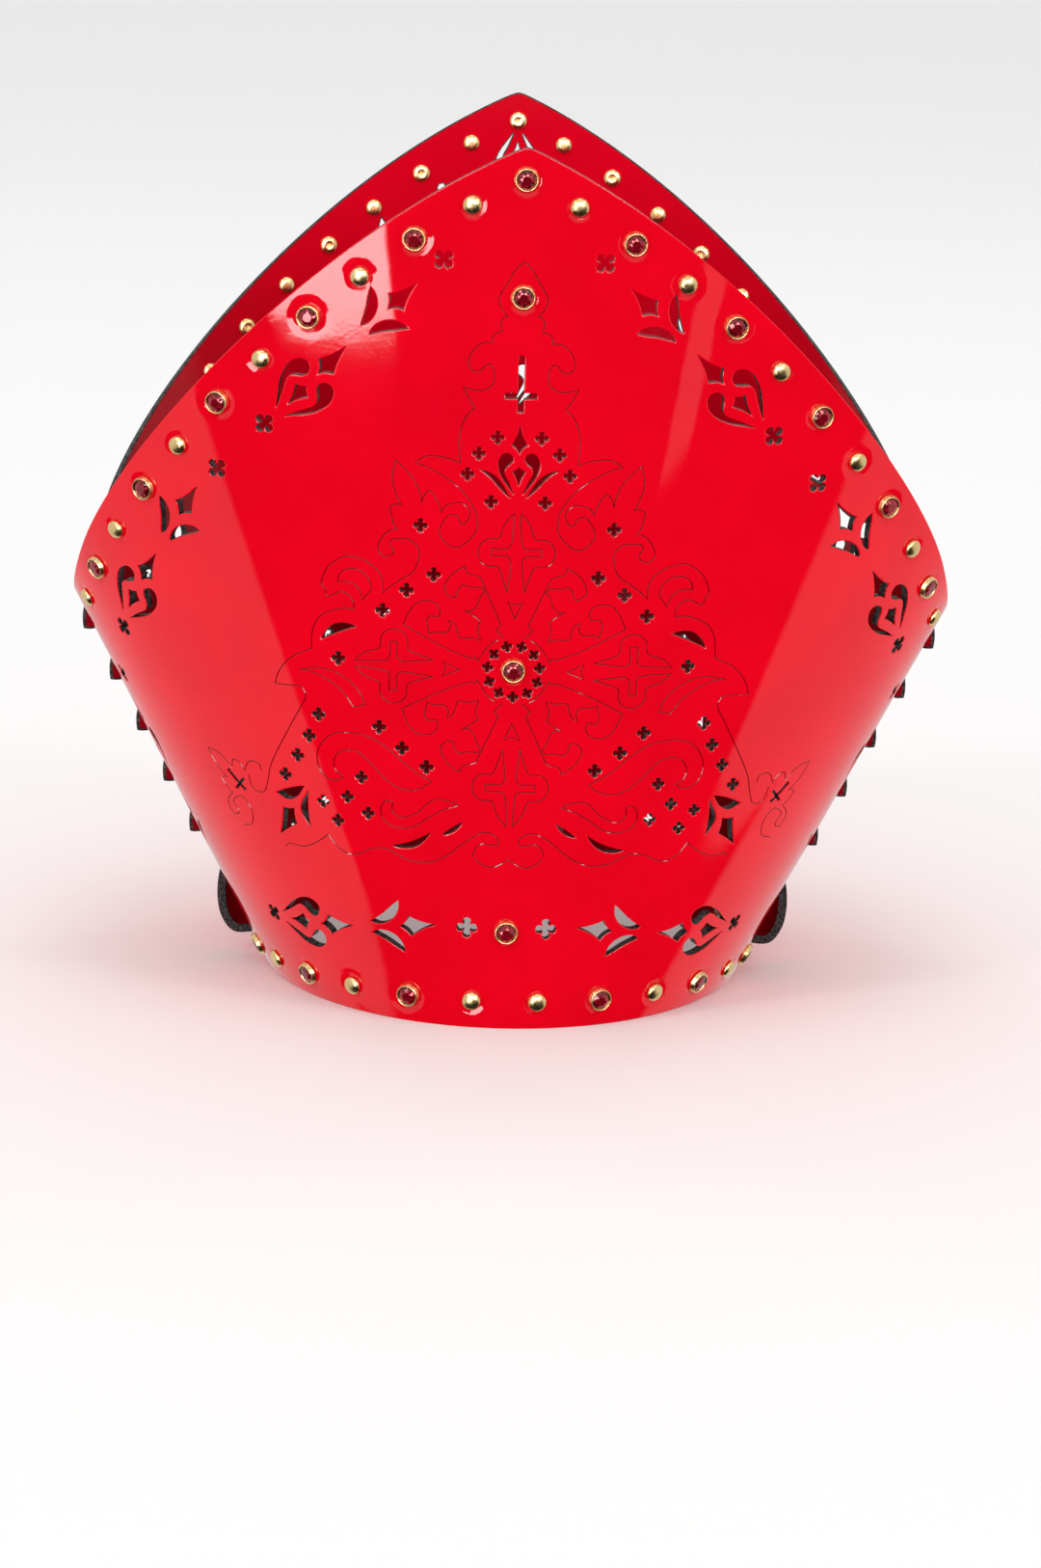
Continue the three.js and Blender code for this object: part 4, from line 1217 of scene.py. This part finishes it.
    def build(self, gold: bpy.types.Material, crystal: bpy.types.Material) -> list[bpy.types.Object]:
        """Bezels with their inner caps, stones, and domes with their inner caps."""
        crystal_nodes = self.solids("crystal", len(self.places.crystals))
        dome_nodes = self.solids("dome", len(self.places.domes))
        bezels = MeshParts()
        self.heads(self.places.crystals, self.bezel_profile, bezels)
        self.heads(self.places.crystals, self.dimple_profile, bezels)
        domes = MeshParts()
        self.heads(self.places.domes, self.dome_profile, domes)
        self.heads(self.places.domes, self.plain_profile, domes)
        stones = MeshParts()
        points, faces, tones = self.stone()
        middles, axes = self.frames(self.places.crystals)
        for i, (middle, axis) in enumerate(zip(middles, axes)):
            spin = Matrix.Rotation(0.7 * i, 3, "Z")
            stones.add(points @ np.array(spin) @ axis + middle, faces, 0)
        made = [
            settle(bezels.build(f"{self.label}_bezels", [gold]), crystal_nodes),
            settle(stones.build(f"{self.label}_stones", [crystal]), []),
            settle(domes.build(f"{self.label}_domes", [gold]), dome_nodes),
        ]
        # painted glints: the facet brightness goes on the stones, shifted a little from stone to stone
        tone = made[1].data.attributes.new("facet_painted_glint", "FLOAT", "FACE")
        shift = np.repeat(np.arange(len(middles)) * 7 % 5, len(tones)) * 0.03
        tone.data.foreach_set("value", (np.tile(tones, len(middles)) + shift).astype(np.float32))
        return made


# ---------------------------------------------------------------- panels
@dataclass
class FlatPattern:
    """Triangles of a flat panel with holes, engraved lines and denser patches."""

    outline: Array
    holes: list[Array]
    lines: list[Array]
    lip: float = 0.4
    groove: float = 0.19
    grid: float = 4.0

    def ribbon(self, line: Array) -> tuple[Array, Array]:
        """Closed band round a line, half a groove wide on each side, and the line."""
        gap = np.linalg.norm(np.diff(line, axis=0), axis=1) > 1e-3
        line = line[np.concatenate([[True], gap])]
        run = unit(np.diff(line, axis=0))
        side = np.column_stack([run[:, 1], -run[:, 0]])
        joint = np.vstack([side[:1], side[:-1] + side[1:], side[-1:]])
        dots = np.concatenate([[1.0], 1.0 + np.sum(side[:-1] * side[1:], axis=1), [1.0]])
        wide = joint / np.maximum(dots, 0.6)[:, None] * self.groove
        start = line[:1] - run[:1] * self.groove
        end = line[-1:] + run[-1:] * self.groove
        return np.vstack([start, line + wide, end, (line - wide)[::-1]]), line

    def triangulate(self, dense: Array) -> tuple[Array, Array, Array, Array, Array]:
        """Fills the flat panel with triangles.

        Args:
            dense: extra flat places that should become corners.

        Returns:
            Corners, triangles, outward tilt of the corners on cut edges (two columns),
            the depth share, from 0 to 1, of each corner in an engraved line, and
            whether each triangle lies in such a line.
        """
        points: list[Array] = []
        edges: list[Array] = []
        tilts: list[Array] = []
        count = 0

        def add(loop: Array, closed: bool, tilt: Array | None = None) -> None:
            """Adds a chain of corners with edges between them."""
            nonlocal count
            index = np.arange(len(loop)) + count
            links = np.column_stack([index, np.roll(index, -1)])
            edges.append(links if closed else links[:-1])
            points.append(loop)
            tilts.append(np.zeros((len(loop), 2)) if tilt is None else tilt)
            count += len(loop)

        sides = loop_sides(self.outline)
        add(self.outline, True, unit(sides))
        add(self.outline - sides * self.lip, True)
        for hole in self.holes:
            sides = loop_sides(hole)
            add(hole, True, -unit(sides))
            add(hole + sides * self.lip, True)
        starts, ends = [], []
        for line in self.lines:
            band, middle = self.ribbon(line)
            add(band, True)
            add(middle, False)
            starts.append(middle[:-1])
            ends.append(middle[1:])
        chains = np.vstack(points)
        fill = self.filling(chains, dense)
        points.append(fill)
        tilts.append(np.zeros((len(fill), 2)))
        corners = np.vstack(points)
        links = np.vstack(edges)
        result = delaunay_2d_cdt(
            [Vector(p) for p in corners.tolist()], [tuple(e) for e in links.tolist()], [], 0, 1e-4, True
        )
        flat = np.array([tuple(p) for p in result[0]])
        triangles = np.array(result[2], int)
        source = np.array([ids[0] if ids else -1 for ids in result[3]])
        known = source >= 0
        tilt = np.zeros((len(flat), 2))
        tilt[known] = np.vstack(tilts)[source[known]]
        a, b, c = (flat[triangles[:, k]] for k in range(3))
        area = (b[:, 0] - a[:, 0]) * (c[:, 1] - a[:, 1]) - (b[:, 1] - a[:, 1]) * (c[:, 0] - a[:, 0])
        triangles[area < 0] = triangles[area < 0][:, ::-1]
        middles = (a + b + c) / 3
        keep = inside(middles, self.outline) & (np.abs(area) > 1e-9)
        for hole in self.holes:
            keep &= ~inside(middles, hole)
        triangles = triangles[keep]
        used, triangles = np.unique(triangles, return_inverse=True)
        flat, tilt, source = flat[used], tilt[used], source[used]
        triangles = triangles.reshape(-1, 3)
        depth = np.zeros(len(flat))
        engraved = np.zeros(len(triangles), bool)
        if starts:
            lined = np.flatnonzero(source < len(chains))
            pieces = np.vstack(starts), np.vstack(ends)
            depth[lined] = np.clip(1.0 - line_distance(flat[lined], *pieces) / self.groove, 0.0, 1.0)
            near = np.flatnonzero(np.any(depth[triangles] > 0.05, axis=1))
            gaps = line_distance(flat[triangles[near]].mean(axis=1), *pieces)
            engraved[near[gaps < self.groove]] = True
            depth[np.unique(triangles[near[gaps >= self.groove]])] = 0.0
        return flat, triangles, tilt, depth, engraved

    def filling(self, chains: Array, dense: Array) -> Array:
        """Grid and dense places that lie in the leather, clear of the chains."""
        low, high = self.outline.min(axis=0), self.outline.max(axis=0)
        u = np.arange(low[0], high[0], self.grid)
        v = np.arange(low[1], high[1], self.grid)
        grid = np.stack(np.meshgrid(u, v, indexing="ij"), -1)
        grid[::2, :, 1] += self.grid / 2
        places = [
            self.clear_of(dense, chains, 0.6),
            self.clear_of(self.clear_of(grid.reshape(-1, 2), chains, 1.4), dense, 1.2),
        ]
        fill = np.vstack(places)
        keep = inside(fill, self.outline)
        for hole in self.holes:
            keep &= ~inside(fill, hole)
        return fill[keep]

    @staticmethod
    def clear_of(places: Array, others: Array, reach: float) -> Array:
        """Places whose cell of a square grid, and the cells beside it, hold no other."""
        if min(len(places), len(others)) == 0:
            return places
        low = np.minimum(places.min(axis=0), others.min(axis=0)) - 2 * reach
        high = np.maximum(places.max(axis=0), others.max(axis=0)) + 2 * reach
        shape = np.ceil((high - low) / reach).astype(int) + 1
        taken = np.zeros(shape, bool)
        cell = ((others - low) / reach).astype(int)
        taken[cell[:, 0], cell[:, 1]] = True
        wide = taken.copy()
        for du in (-1, 0, 1):
            for dv in (-1, 0, 1):
                wide |= np.roll(np.roll(taken, du, 0), dv, 1)
        cell = ((places - low) / reach).astype(int)
        return places[~wide[cell[:, 0], cell[:, 1]]]


@dataclass
class LeatherPanel:
    """One pierced and engraved panel with its rivets pressed into the leather."""

    leather: BentLeather
    rivets: RivetPlaces
    ornament: Ornament
    name: str
    end_past: float
    cutouts: list[Array]
    dent: float = 0.3
    dent_reach: float = 1.6
    lip_drop: float = 0.2
    groove_depth: float = 0.15

    def sink(self, places: Array) -> Array:
        """Height of the outer face at flat places.

        Round each rivet the leather sinks by dent, and comes back with the square of
        the distance from the head as the exponent of a bell curve. The edge of the dent
        swings in and out a little round the head.
        """
        height = np.zeros(len(places))
        heads = [(row, 3.7) for row in self.rivets.crystals] + [(row, 2.8) for row in self.rivets.domes]
        for number, (middle, radius) in enumerate(heads):
            offset = places - middle
            gap = np.hypot(offset[:, 0], offset[:, 1])
            turn = np.arctan2(offset[:, 1], offset[:, 0])
            reach = self.dent_reach * (1 + 0.05 * np.sin(3 * turn + 1.7 * number))
            reach *= 1 + 0.04 * np.sin(7 * turn + 2.3 * number)
            height -= self.dent * np.exp(-((np.maximum(gap - radius, 0.0) / reach) ** 2))
        return height

    def rings(self) -> Array:
        """Places round each rivet where the dent needs corners."""
        parts = []
        for places, radii in (
            (self.rivets.crystals, (2.4, 3.8, 4.7, 5.6, 6.6, 7.8)),
            (self.rivets.domes, (1.8, 2.9, 3.8, 4.7, 5.7, 6.9)),
        ):
            for number, radius in enumerate(radii):
                turn = np.linspace(0, 2 * math.pi, 28, endpoint=False) + 0.11 * number
                circle = radius * np.column_stack([np.cos(turn), np.sin(turn)])
                parts.append((places[:, None, :] + circle).reshape(-1, 2))
        return np.vstack(parts)

    def build(self, finishes: list[bpy.types.Material]) -> bpy.types.Object:
        """Closed panel: outer face, inner face and cut edges between them.

        Outer corners sit on the bent surface plus the sunk height; inner corners lie a
        leather's thickness behind it. Normals come from the surface itself, tilted by
        the slope of the dents, and the walls of engraved lines are flat.
        """
        end = SIDE + self.leather.angle_past(self.end_past)
        outline = self.leather.outline(end, 2.0)
        holes = self.ornament.holes() + self.cutouts
        pattern = FlatPattern(outline, holes, self.ornament.lines())
        flat, triangles, tilt, depth, engraved = pattern.triangulate(self.rings())
        edged = np.any(tilt != 0, axis=1)
        height = self.sink(flat) - self.groove_depth * depth - self.lip_drop * edged
        outer, du, dv, outward = self.leather.bend(flat, height)
        inner = self.leather.bend(flat, -self.leather.sizes.leather)[0]
        step = 0.05
        slope_u = (self.sink(flat + [step, 0]) - self.sink(flat - [step, 0])) / (2 * step)
        slope_v = (self.sink(flat + [0, step]) - self.sink(flat - [0, step])) / (2 * step)
        normals = outward - du * slope_u[:, None] - dv * slope_v[:, None]
        normals += 0.9 * (du * tilt[:, :1] + dv * tilt[:, 1:])
        normals = unit(normals)
        corner_normals = normals[triangles]
        corners = outer[triangles]
        flat_sides = unit(np.cross(corners[:, 1] - corners[:, 0], corners[:, 2] - corners[:, 0]))
        corner_normals[engraved] = flat_sides[engraved][:, None, :]
        parts = MeshParts()
        parts.add(outer, triangles, np.where(engraved, Slot.ENGRAVED, Slot.OUTSIDE), corner_normals)
        burnished = np.any(edged[triangles], axis=1)
        inner_slots = np.where(burnished, Slot.EDGE, Slot.INSIDE)
        parts.add(inner, triangles[:, ::-1], inner_slots, -outward[triangles[:, ::-1]])
        walls = self.cut_edges(triangles, len(flat))
        parts.add(np.vstack([outer, inner]), walls, Slot.EDGE)
        return parts.build(self.name, finishes)

    @staticmethod
    def cut_edges(triangles: Array, count: int) -> Array:
        """Quads from the outer to the inner face along every edge used only once."""
        sides = np.vstack([triangles[:, [0, 1]], triangles[:, [1, 2]], triangles[:, [2, 0]]])
        key = np.sort(sides, axis=1)
        _, first, uses = np.unique(key, axis=0, return_index=True, return_counts=True)
        rim = sides[first[uses == 1]]
        return np.column_stack([rim[:, 1], rim[:, 0], rim[:, 0] + count, rim[:, 1] + count])


# ---------------------------------------------------------------- side seams
@dataclass
class SideSeam:
    """Hook tabs, the tongue and the big curled tab at one side of the mitre."""

    leather: BentLeather
    sign: float

    def moon(self, margin: float, back: float, count: int = 40) -> Array:
        """Half-moon on the front side of the seam, grown by a margin."""
        s = self.leather.sizes
        turn = np.linspace(0.0, math.pi, count)
        middle = s.opening_foot + s.opening_height / 2
        up = middle + (s.opening_height / 2 + margin) * np.cos(turn)
        past = back - (s.opening_reach + margin) * np.sin(turn)
        loop = self.leather.beside_seam(up, past, self.sign)
        return loop if signed_area(loop) > 0 else loop[::-1]

    def slots(self) -> list[Array]:
        """Outlines of the tab slots and of the half-moon opening in the front panel."""
        s = self.leather.sizes
        back = s.leather / 2 + s.slot_gap
        half = s.tab_base / 2 + s.slot_gap
        loops = [self.moon(0.0, back)]
        for middle in s.tab_middles():
            up = middle + half * np.array([-1.0, -1.0, 1.0, 1.0])
            past = back * np.array([-1.0, 1.0, 1.0, -1.0])
            loop = self.leather.beside_seam(up, past, self.sign)
            loops.append(loop if signed_area(loop) > 0 else loop[::-1])
        return loops

    def place(self, local: Array) -> Array:
        """Points given up the seam, outwards and to the back, in the part's frame."""
        foot, axes = self.leather.seam_frame(self.sign)
        return foot + local @ axes

    def oriented(self, faces: Array) -> Array:
        """Faces turned over on the side where the seam's axes are left-handed."""
        _, axes = self.leather.seam_frame(self.sign)
        return faces if np.linalg.det(axes) > 0 else faces[:, ::-1]

    def plate(self, outline: Array, front: float, back: float, parts: MeshParts) -> None:
        """Adds a flat plate across the seam with eased corners and dark cut edges."""
        loop = outline if signed_area(outline) > 0 else outline[::-1]
        sides = loop_sides(loop)
        ease = 0.4
        tucked = loop - unit(sides) * (0.45 + 0.85 * np.clip(unit(sides)[:, 1:], 0.0, 1.0))
        rings = ((tucked, front), (loop, front + ease), (loop, back - ease), (tucked, back))
        points = np.vstack([np.column_stack([ring, np.full(len(ring), at)]) for ring, at in rings])
        count = len(loop)
        j = np.arange(count)
        k = (j + 1) % count
        band = np.column_stack([j, k, count + k, count + j])
        walls = np.vstack([band + r * count for r in range(3)])
        placed = self.place(points)
        parts.add(placed, self.oriented(walls), Slot.EDGE)
        fan = delaunay_2d_cdt([Vector(p) for p in loop.tolist()], [], [list(range(count))], 1, 1e-6, False)
        triangles = np.array(fan[2], int)
        # painted shade: both faces of each hook tab take the darkened red
        parts.add(placed, self.oriented(triangles[:, ::-1]), Slot.SHADED)
        parts.add(placed, self.oriented(triangles + 3 * count), Slot.SHADED)

    def tab_outline(self, middle: float) -> Array:
        """Pointed hook: a long bowed upper side, an outer corner and a short lower side."""
        s = self.leather.sizes
        base, reach = s.tab_base, s.tab_reach
        root = -s.seam_gap - 1.5 * s.leather
        low, high = middle - base / 2, middle + base / 2
        corner = (low + 0.2 * base, reach)
        upper = bowed((high, 0), corner, -0.12 * reach, 0.5)
        lower = bowed(corner, (low, 0), -0.08 * reach, 0.5)
        return np.vstack([[(low, root), (high, root)], upper[:-1], lower])

    def scoop_rows(self) -> tuple[Array, Array]:
        """Places up the seam and outward swell of the big tab's free edge."""
        s = self.leather.sizes
        low = s.opening_foot + s.slot_gap
        height = s.opening_height - 2 * s.slot_gap
        profile = [(1.03, 0), (0.86, 0.42), (0.62, 0.8), (0.36, 1), (0.13, 0.9), (0.02, 0.42), (0.0, 0.0)]
        rows = smooth_run(np.array(profile), 0.045)
        return low + rows[:, 0] * height, rows[:, 1]

    def scoop(self, parts: MeshParts) -> None:
        """Adds the big curled tab, a blister that opens to the front.

        Each row up the seam eases from the back panel's face out to the swell of the
        free edge, over the depth of the scoop; the inner face lies a leather's
        thickness inside, and the free edge between them is cut square.
        """
        s = self.leather.sizes
        up, swell = self.scoop_rows()
        base = -s.leather - s.seam_gap
        share = np.linspace(0.0, 1.0, 25)
        depth = (s.leather / 2) - (s.scoop_depth + s.leather) * (share - 0.25)
        rise = smooth_step(-0.05, 0.85, share)
        outer_out = base + (s.scoop_reach - base) * swell[:, None] * rise[None, :]
        ups = np.broadcast_to(up[:, None], outer_out.shape)
        depths = np.broadcast_to(depth[None, :], outer_out.shape)
        outer = np.stack([ups, outer_out, depths], -1)
        du = np.gradient(outer, axis=0)
        dt = np.gradient(outer, axis=1)
        side = unit(np.cross(dt, du))
        side *= np.where(side[..., 1:2] < 0, -1.0, 1.0)
        inner = outer - side * s.leather
        inner[..., 2] = depths
        rows, columns = outer_out.shape
        i, j = np.meshgrid(np.arange(rows - 1), np.arange(columns - 1), indexing="ij")
        a = (i * columns + j).reshape(-1)
        quads = np.column_stack([a, a + columns, a + columns + 1, a + 1])
        count = rows * columns
        points = self.place(np.vstack([outer.reshape(-1, 3), inner.reshape(-1, 3)]))
        _, axes = self.leather.seam_frame(self.sign)
        normals = side.reshape(-1, 3) @ axes
        corners = points[quads[0]]
        facing = np.cross(corners[2] - corners[0], corners[3] - corners[1])
        if float(np.dot(facing, normals[quads[0, 0]])) < 0:
            quads = quads[:, ::-1]
        parts.add(points[:count], quads, Slot.OUTSIDE, normals[quads])
        # painted shade: the inner face of the big tab takes the darkened red
        inside_quads = quads[:, ::-1]
        parts.add(points[count:], inside_quads, Slot.SHADED, -normals[inside_quads])
        rim = np.concatenate(
            [
                np.arange(columns),
                np.arange(1, rows) * columns + columns - 1,
                (rows - 1) * columns + np.arange(columns - 2, -1, -1),
                np.arange(rows - 2, 0, -1) * columns,
            ]
        )
        ahead = np.roll(rim, -1)
        walls = np.column_stack([rim, ahead, ahead + count, rim + count])
        middle = points.mean(axis=0)
        quad = points[walls[0]]
        face = np.cross(quad[2] - quad[0], quad[3] - quad[1])
        if float(np.dot(face, quad.mean(axis=0) - middle)) < 0:
            walls = walls[:, ::-1]
        parts.add(points, walls, Slot.EDGE)

    def tongue(self, parts: MeshParts) -> None:
        """Adds the leather of the back panel that lies under the half-moon opening."""
        s = self.leather.sizes
        loop = self.moon(s.tongue_margin, s.leather)
        grid = FlatPattern(loop, [], [], lip=0.3, grid=3.0)
        flat, triangles = grid.triangulate(np.empty((0, 2)))[:2]
        top = -s.leather - s.tongue_gap
        outer, _, _, outward = self.leather.bend(flat, top)
        inner = self.leather.bend(flat, top - s.leather)[0]
        # painted shade: the tongue's outer face takes the darkened red
        parts.add(outer, triangles, Slot.SHADED, outward[triangles])
        parts.add(inner, triangles[:, ::-1], Slot.INSIDE, -outward[triangles[:, ::-1]])
        walls = LeatherPanel.cut_edges(triangles, len(flat))
        parts.add(np.vstack([outer, inner]), walls, Slot.EDGE)

    def build(self, name: str, finishes: list[bpy.types.Material]) -> bpy.types.Object:
        """All of one side's tabs as a piece."""
        s = self.leather.sizes
        parts = MeshParts()
        for middle in s.tab_middles():
            self.plate(self.tab_outline(middle), -s.leather / 2, s.leather / 2, parts)
        self.tongue(parts)
        self.scoop(parts)
        return parts.build(name, finishes)


# ---------------------------------------------------------------- studio
@dataclass(frozen=True)
class SoftBox:
    """A square studio light: place and aim in metres, size in metres, power in watts."""

    name: str
    place: tuple[float, float, float]
    aim: tuple[float, float, float]
    width: float
    height: float
    power: float

    def build(self) -> None:
        """Area light that faces its aim."""
        light = bpy.data.lights.new(self.name, "AREA")
        light.shape = "RECTANGLE"
        light.size, light.size_y, light.energy = self.width, self.height, self.power
        lamp = bpy.data.objects.new(self.name, light)
        lamp.location = self.place
        way = Vector(self.aim) - Vector(self.place)
        lamp.rotation_euler = way.to_track_quat("-Z", "Y").to_euler()
        bpy.context.scene.collection.objects.link(lamp)


@dataclass(frozen=True)
class Studio:
    """Pale floor, soft light from both sides, and the camera."""

    camera_place: tuple[float, float, float] = (-0.0271353, -1.6481456, 0.4427342)
    yaw: float = 0.0198
    pitch: float = 0.2267
    roll: float = 0.0277
    lens: float = 108.2
    floor_half: float = 30.0
    white: float = 1.08
    gloss_white: float = 0.85
    strip: float = 9.0
    dark: float = 0.02
    dark_middle: float = 0.043
    dark_half: float = 0.733
    wall_foot: float = -0.45
    windows: tuple[tuple[float, float, float, float, float], ...] = (
        (-0.50, -0.246, -0.166, 0.17, 13.0),
        (0.36, 0.41, -0.252, 0.0, 0.8),
    )
    boxes: tuple[SoftBox, ...] = (
        SoftBox("key_left", (-1.6, -1.5, 2.2), (0, 0, 0.15), 0.4, 0.4, 7.0),
        SoftBox("key_right", (1.7, -1.3, 2.0), (0, 0, 0.15), 0.4, 0.4, 5.0),
        SoftBox("rear_left", (-1.6, 1.6, 2.0), (0, 0, 0.15), 0.6, 0.6, 4.0),
        SoftBox("rear_right", (1.6, 1.6, 2.0), (0, 0, 0.15), 0.6, 0.6, 4.0),
        SoftBox("overhead", (0, -0.3, 2.6), (0, 0, 0), 0.8, 0.8, 5.0),
    )

    def camera(self) -> None:
        """Camera at the viewing angle of the picture, without depth of field."""
        data = bpy.data.cameras.new("camera")
        data.lens, data.sensor_width = self.lens, 36.0
        data.clip_end = 200.0
        camera = bpy.data.objects.new("camera", data)
        cy, sy = math.cos(self.yaw), math.sin(self.yaw)
        cp, sp = math.cos(self.pitch), math.sin(self.pitch)
        forward = Vector((sy * cp, cy * cp, -sp))
        right = Vector((cy, -sy, 0.0))
        up = right.cross(forward)
        cr, sr = math.cos(self.roll), math.sin(self.roll)
        x_axis, y_axis = right * cr + up * sr, up * cr - right * sr
        turn = Matrix((x_axis, y_axis, -forward)).transposed().to_4x4()
        camera.matrix_world = Matrix.Translation(self.camera_place) @ turn
        bpy.context.scene.collection.objects.link(camera)
        bpy.context.scene.camera = camera

    def floor(self) -> None:
        """Plain pale floor."""
        half = self.floor_half
        mesh = bpy.data.meshes.new("floor")
        corners = [(-half, -half, 0), (half, -half, 0), (half, half, 0), (-half, half, 0)]
        mesh.from_pydata(corners, [], [(0, 1, 2, 3)])
        settings = {"Roughness": 0.9, "Specular IOR Level": 0.1, "Emission Strength": 0.02}
        material, nodes, links, shader = new_material("floor_paper", settings)
        shader.inputs["Emission Color"].default_value = (1.0, 1.0, 0.995, 1.0)
        place = nodes.new("ShaderNodeTexCoord")
        tone = add_noise(nodes, links, place, 0.8, 2.0)
        grey, pale = (0.90, 0.90, 0.895), (0.92, 0.92, 0.915)
        colour = add_ramp(nodes, links, tone.outputs["Fac"], (0.0, grey), (1.0, pale))
        links.new(colour, shader.inputs["Base Color"])
        mesh.materials.append(material)
        floor = bpy.data.objects.new("floor", mesh)
        floor.visible_glossy = False
        bpy.context.scene.collection.objects.link(floor)

    def world(self) -> None:
        """Studio surroundings: even white light, with a dark front in reflections.

        Reflections see white walls to the sides, behind and above. The front is dark
        between two upright borders, apart from two small windows of light low in it and
        a bright strip over it, which only rivets, dents and grooves can mirror.
        """
        world = bpy.context.scene.world or bpy.data.worlds.new("studio")
        bpy.context.scene.world = world
        world.use_nodes = True
        nodes, links = world.node_tree.nodes, world.node_tree.links
        nodes.clear()
        place = nodes.new("ShaderNodeTexCoord")
        way = nodes.new("ShaderNodeSeparateXYZ")
        links.new(place.outputs["Generated"], way.inputs["Vector"])

        def combine(operation: str, *values: object) -> bpy.types.NodeSocket:
            """Math node over sockets and plain numbers."""
            node = nodes.new("ShaderNodeMath")
            node.operation = operation
            for socket, value in zip(node.inputs, values):
                if isinstance(value, (int, float)):
                    socket.default_value = value
                else:
                    links.new(value, socket)
            return node.outputs["Value"]

        def between(value: object, low: float, high: float) -> bpy.types.NodeSocket:
            """Ease from 0 at low to 1 at high."""
            node = nodes.new("ShaderNodeMapRange")
            node.interpolation_type = "SMOOTHSTEP"
            node.inputs["From Min"].default_value = low
            node.inputs["From Max"].default_value = high
            links.new(value, node.inputs["Value"])
            return node.outputs["Result"]

        x, y, z = way.outputs["X"], way.outputs["Y"], way.outputs["Z"]
        sideways = combine("ABSOLUTE", combine("SUBTRACT", x, self.dark_middle))
        low_cut = combine("MAXIMUM", combine("SUBTRACT", self.wall_foot, z), 0.0)
        reach = combine("SUBTRACT", sideways, low_cut)
        walls = between(reach, self.dark_half - 0.008, self.dark_half + 0.008)
        rear = between(y, -0.05, 0.05)
        above = between(z, -0.06, 0.06)
        white = combine("MAXIMUM", combine("MAXIMUM", walls, rear), above)
        total = combine("MULTIPLY_ADD", white, self.gloss_white - self.dark, self.dark)
        for low, high, foot, slope, strength in self.windows:
            left, right = between(x, low - 0.004, low + 0.004), between(x, high + 0.004, high - 0.004)
            height = combine("MULTIPLY_ADD", x, -slope, z)
            over, under = between(height, foot - 0.003, foot + 0.003), combine("SUBTRACT", 1.0, above)
            window = combine("MULTIPLY", combine("MULTIPLY", left, right), combine("MULTIPLY", over, under))
            window = combine("MULTIPLY", window, combine("SUBTRACT", 1.0, rear))
            total = combine("MULTIPLY_ADD", window, strength, total)
        strip = combine("MULTIPLY", between(z, 0.12, 0.16), between(z, 0.42, 0.38))
        strip = combine("MULTIPLY", strip, between(sideways, 0.5, 0.46))
        strip = combine("MULTIPLY", strip, combine("SUBTRACT", 1.0, rear))
        total = combine("MULTIPLY_ADD", strip, self.strip, total)
        mirrored = nodes.new("ShaderNodeBackground")
        links.new(total, mirrored.inputs["Strength"])
        even = nodes.new("ShaderNodeBackground")
        even.inputs["Strength"].default_value = self.white
        path = nodes.new("ShaderNodeLightPath")
        mix = nodes.new("ShaderNodeMixShader")
        links.new(path.outputs["Is Glossy Ray"], mix.inputs["Fac"])
        links.new(even.outputs["Background"], mix.inputs[1])
        links.new(mirrored.outputs["Background"], mix.inputs[2])
        out = nodes.new("ShaderNodeOutputWorld")
        links.new(mix.outputs["Shader"], out.inputs["Surface"])

    def build(self) -> None:
        """Sets up camera, floor, surroundings and lights."""
        bpy.context.scene.view_settings.view_transform = "Standard"
        self.camera()
        self.floor()
        self.world()
        for box in self.boxes:
            box.build()


# ---------------------------------------------------------------- the mitre
@dataclass
class Mitre:
    """The whole mitre: two panels, their rivets and the two side seams."""

    sizes: MitreSizes = field(default_factory=MitreSizes)
    ornament: Ornament = field(default_factory=Ornament)

    def build(self) -> None:
        """Builds every piece and settles it on the part."""
        red, inside_red = OUTER_RED.build(), INNER_RED.build()
        edge, engraved = DARK_EDGE.build(), ENGRAVED_RED.build()
        gold, crystal = GOLD.build(), RED_CRYSTAL.build()
        finishes = [red, inside_red, edge, engraved, PAINTED_SHADE_RED.build()]
        front = BentLeather(self.sizes, Facing.FRONT)
        back = BentLeather(self.sizes, Facing.BACK)
        seams = [SideSeam(front, sign) for sign in (-1.0, 1.0)]
        cutouts = [loop for seam in seams for loop in seam.slots()]
        front_rivets, back_rivets = RivetPlaces.on(front), RivetPlaces.on(back)
        LOG.info("rivets: %d crystals, %d domes a panel", len(front_rivets.crystals), len(front_rivets.domes))
        front_panel = LeatherPanel(
            front, front_rivets, self.ornament, "front_leather", self.sizes.flap_reach, cutouts
        )
        settle(front_panel.build(finishes), ["front_panel"])
        back_panel = LeatherPanel(
            back, back_rivets, Ornament(crown_fleur=True), "back_leather", self.sizes.leather / 2, []
        )
        settle(back_panel.build(finishes), ["back_panel"])
        for seam, side in zip(seams, ("left", "right")):
            settle(seam.build(f"{side}_seam_tabs", finishes), [])
        RivetSet(front, front_rivets, "front").build(gold, crystal)
        RivetSet(back, back_rivets, "back").build(gold, crystal)


def main() -> None:
    """Builds the studio and the mitre."""
    logging.basicConfig(level=logging.INFO, format="%(name)s %(message)s")
    Studio().build()
    Mitre().build()


if __name__ == "__main__":
    main()
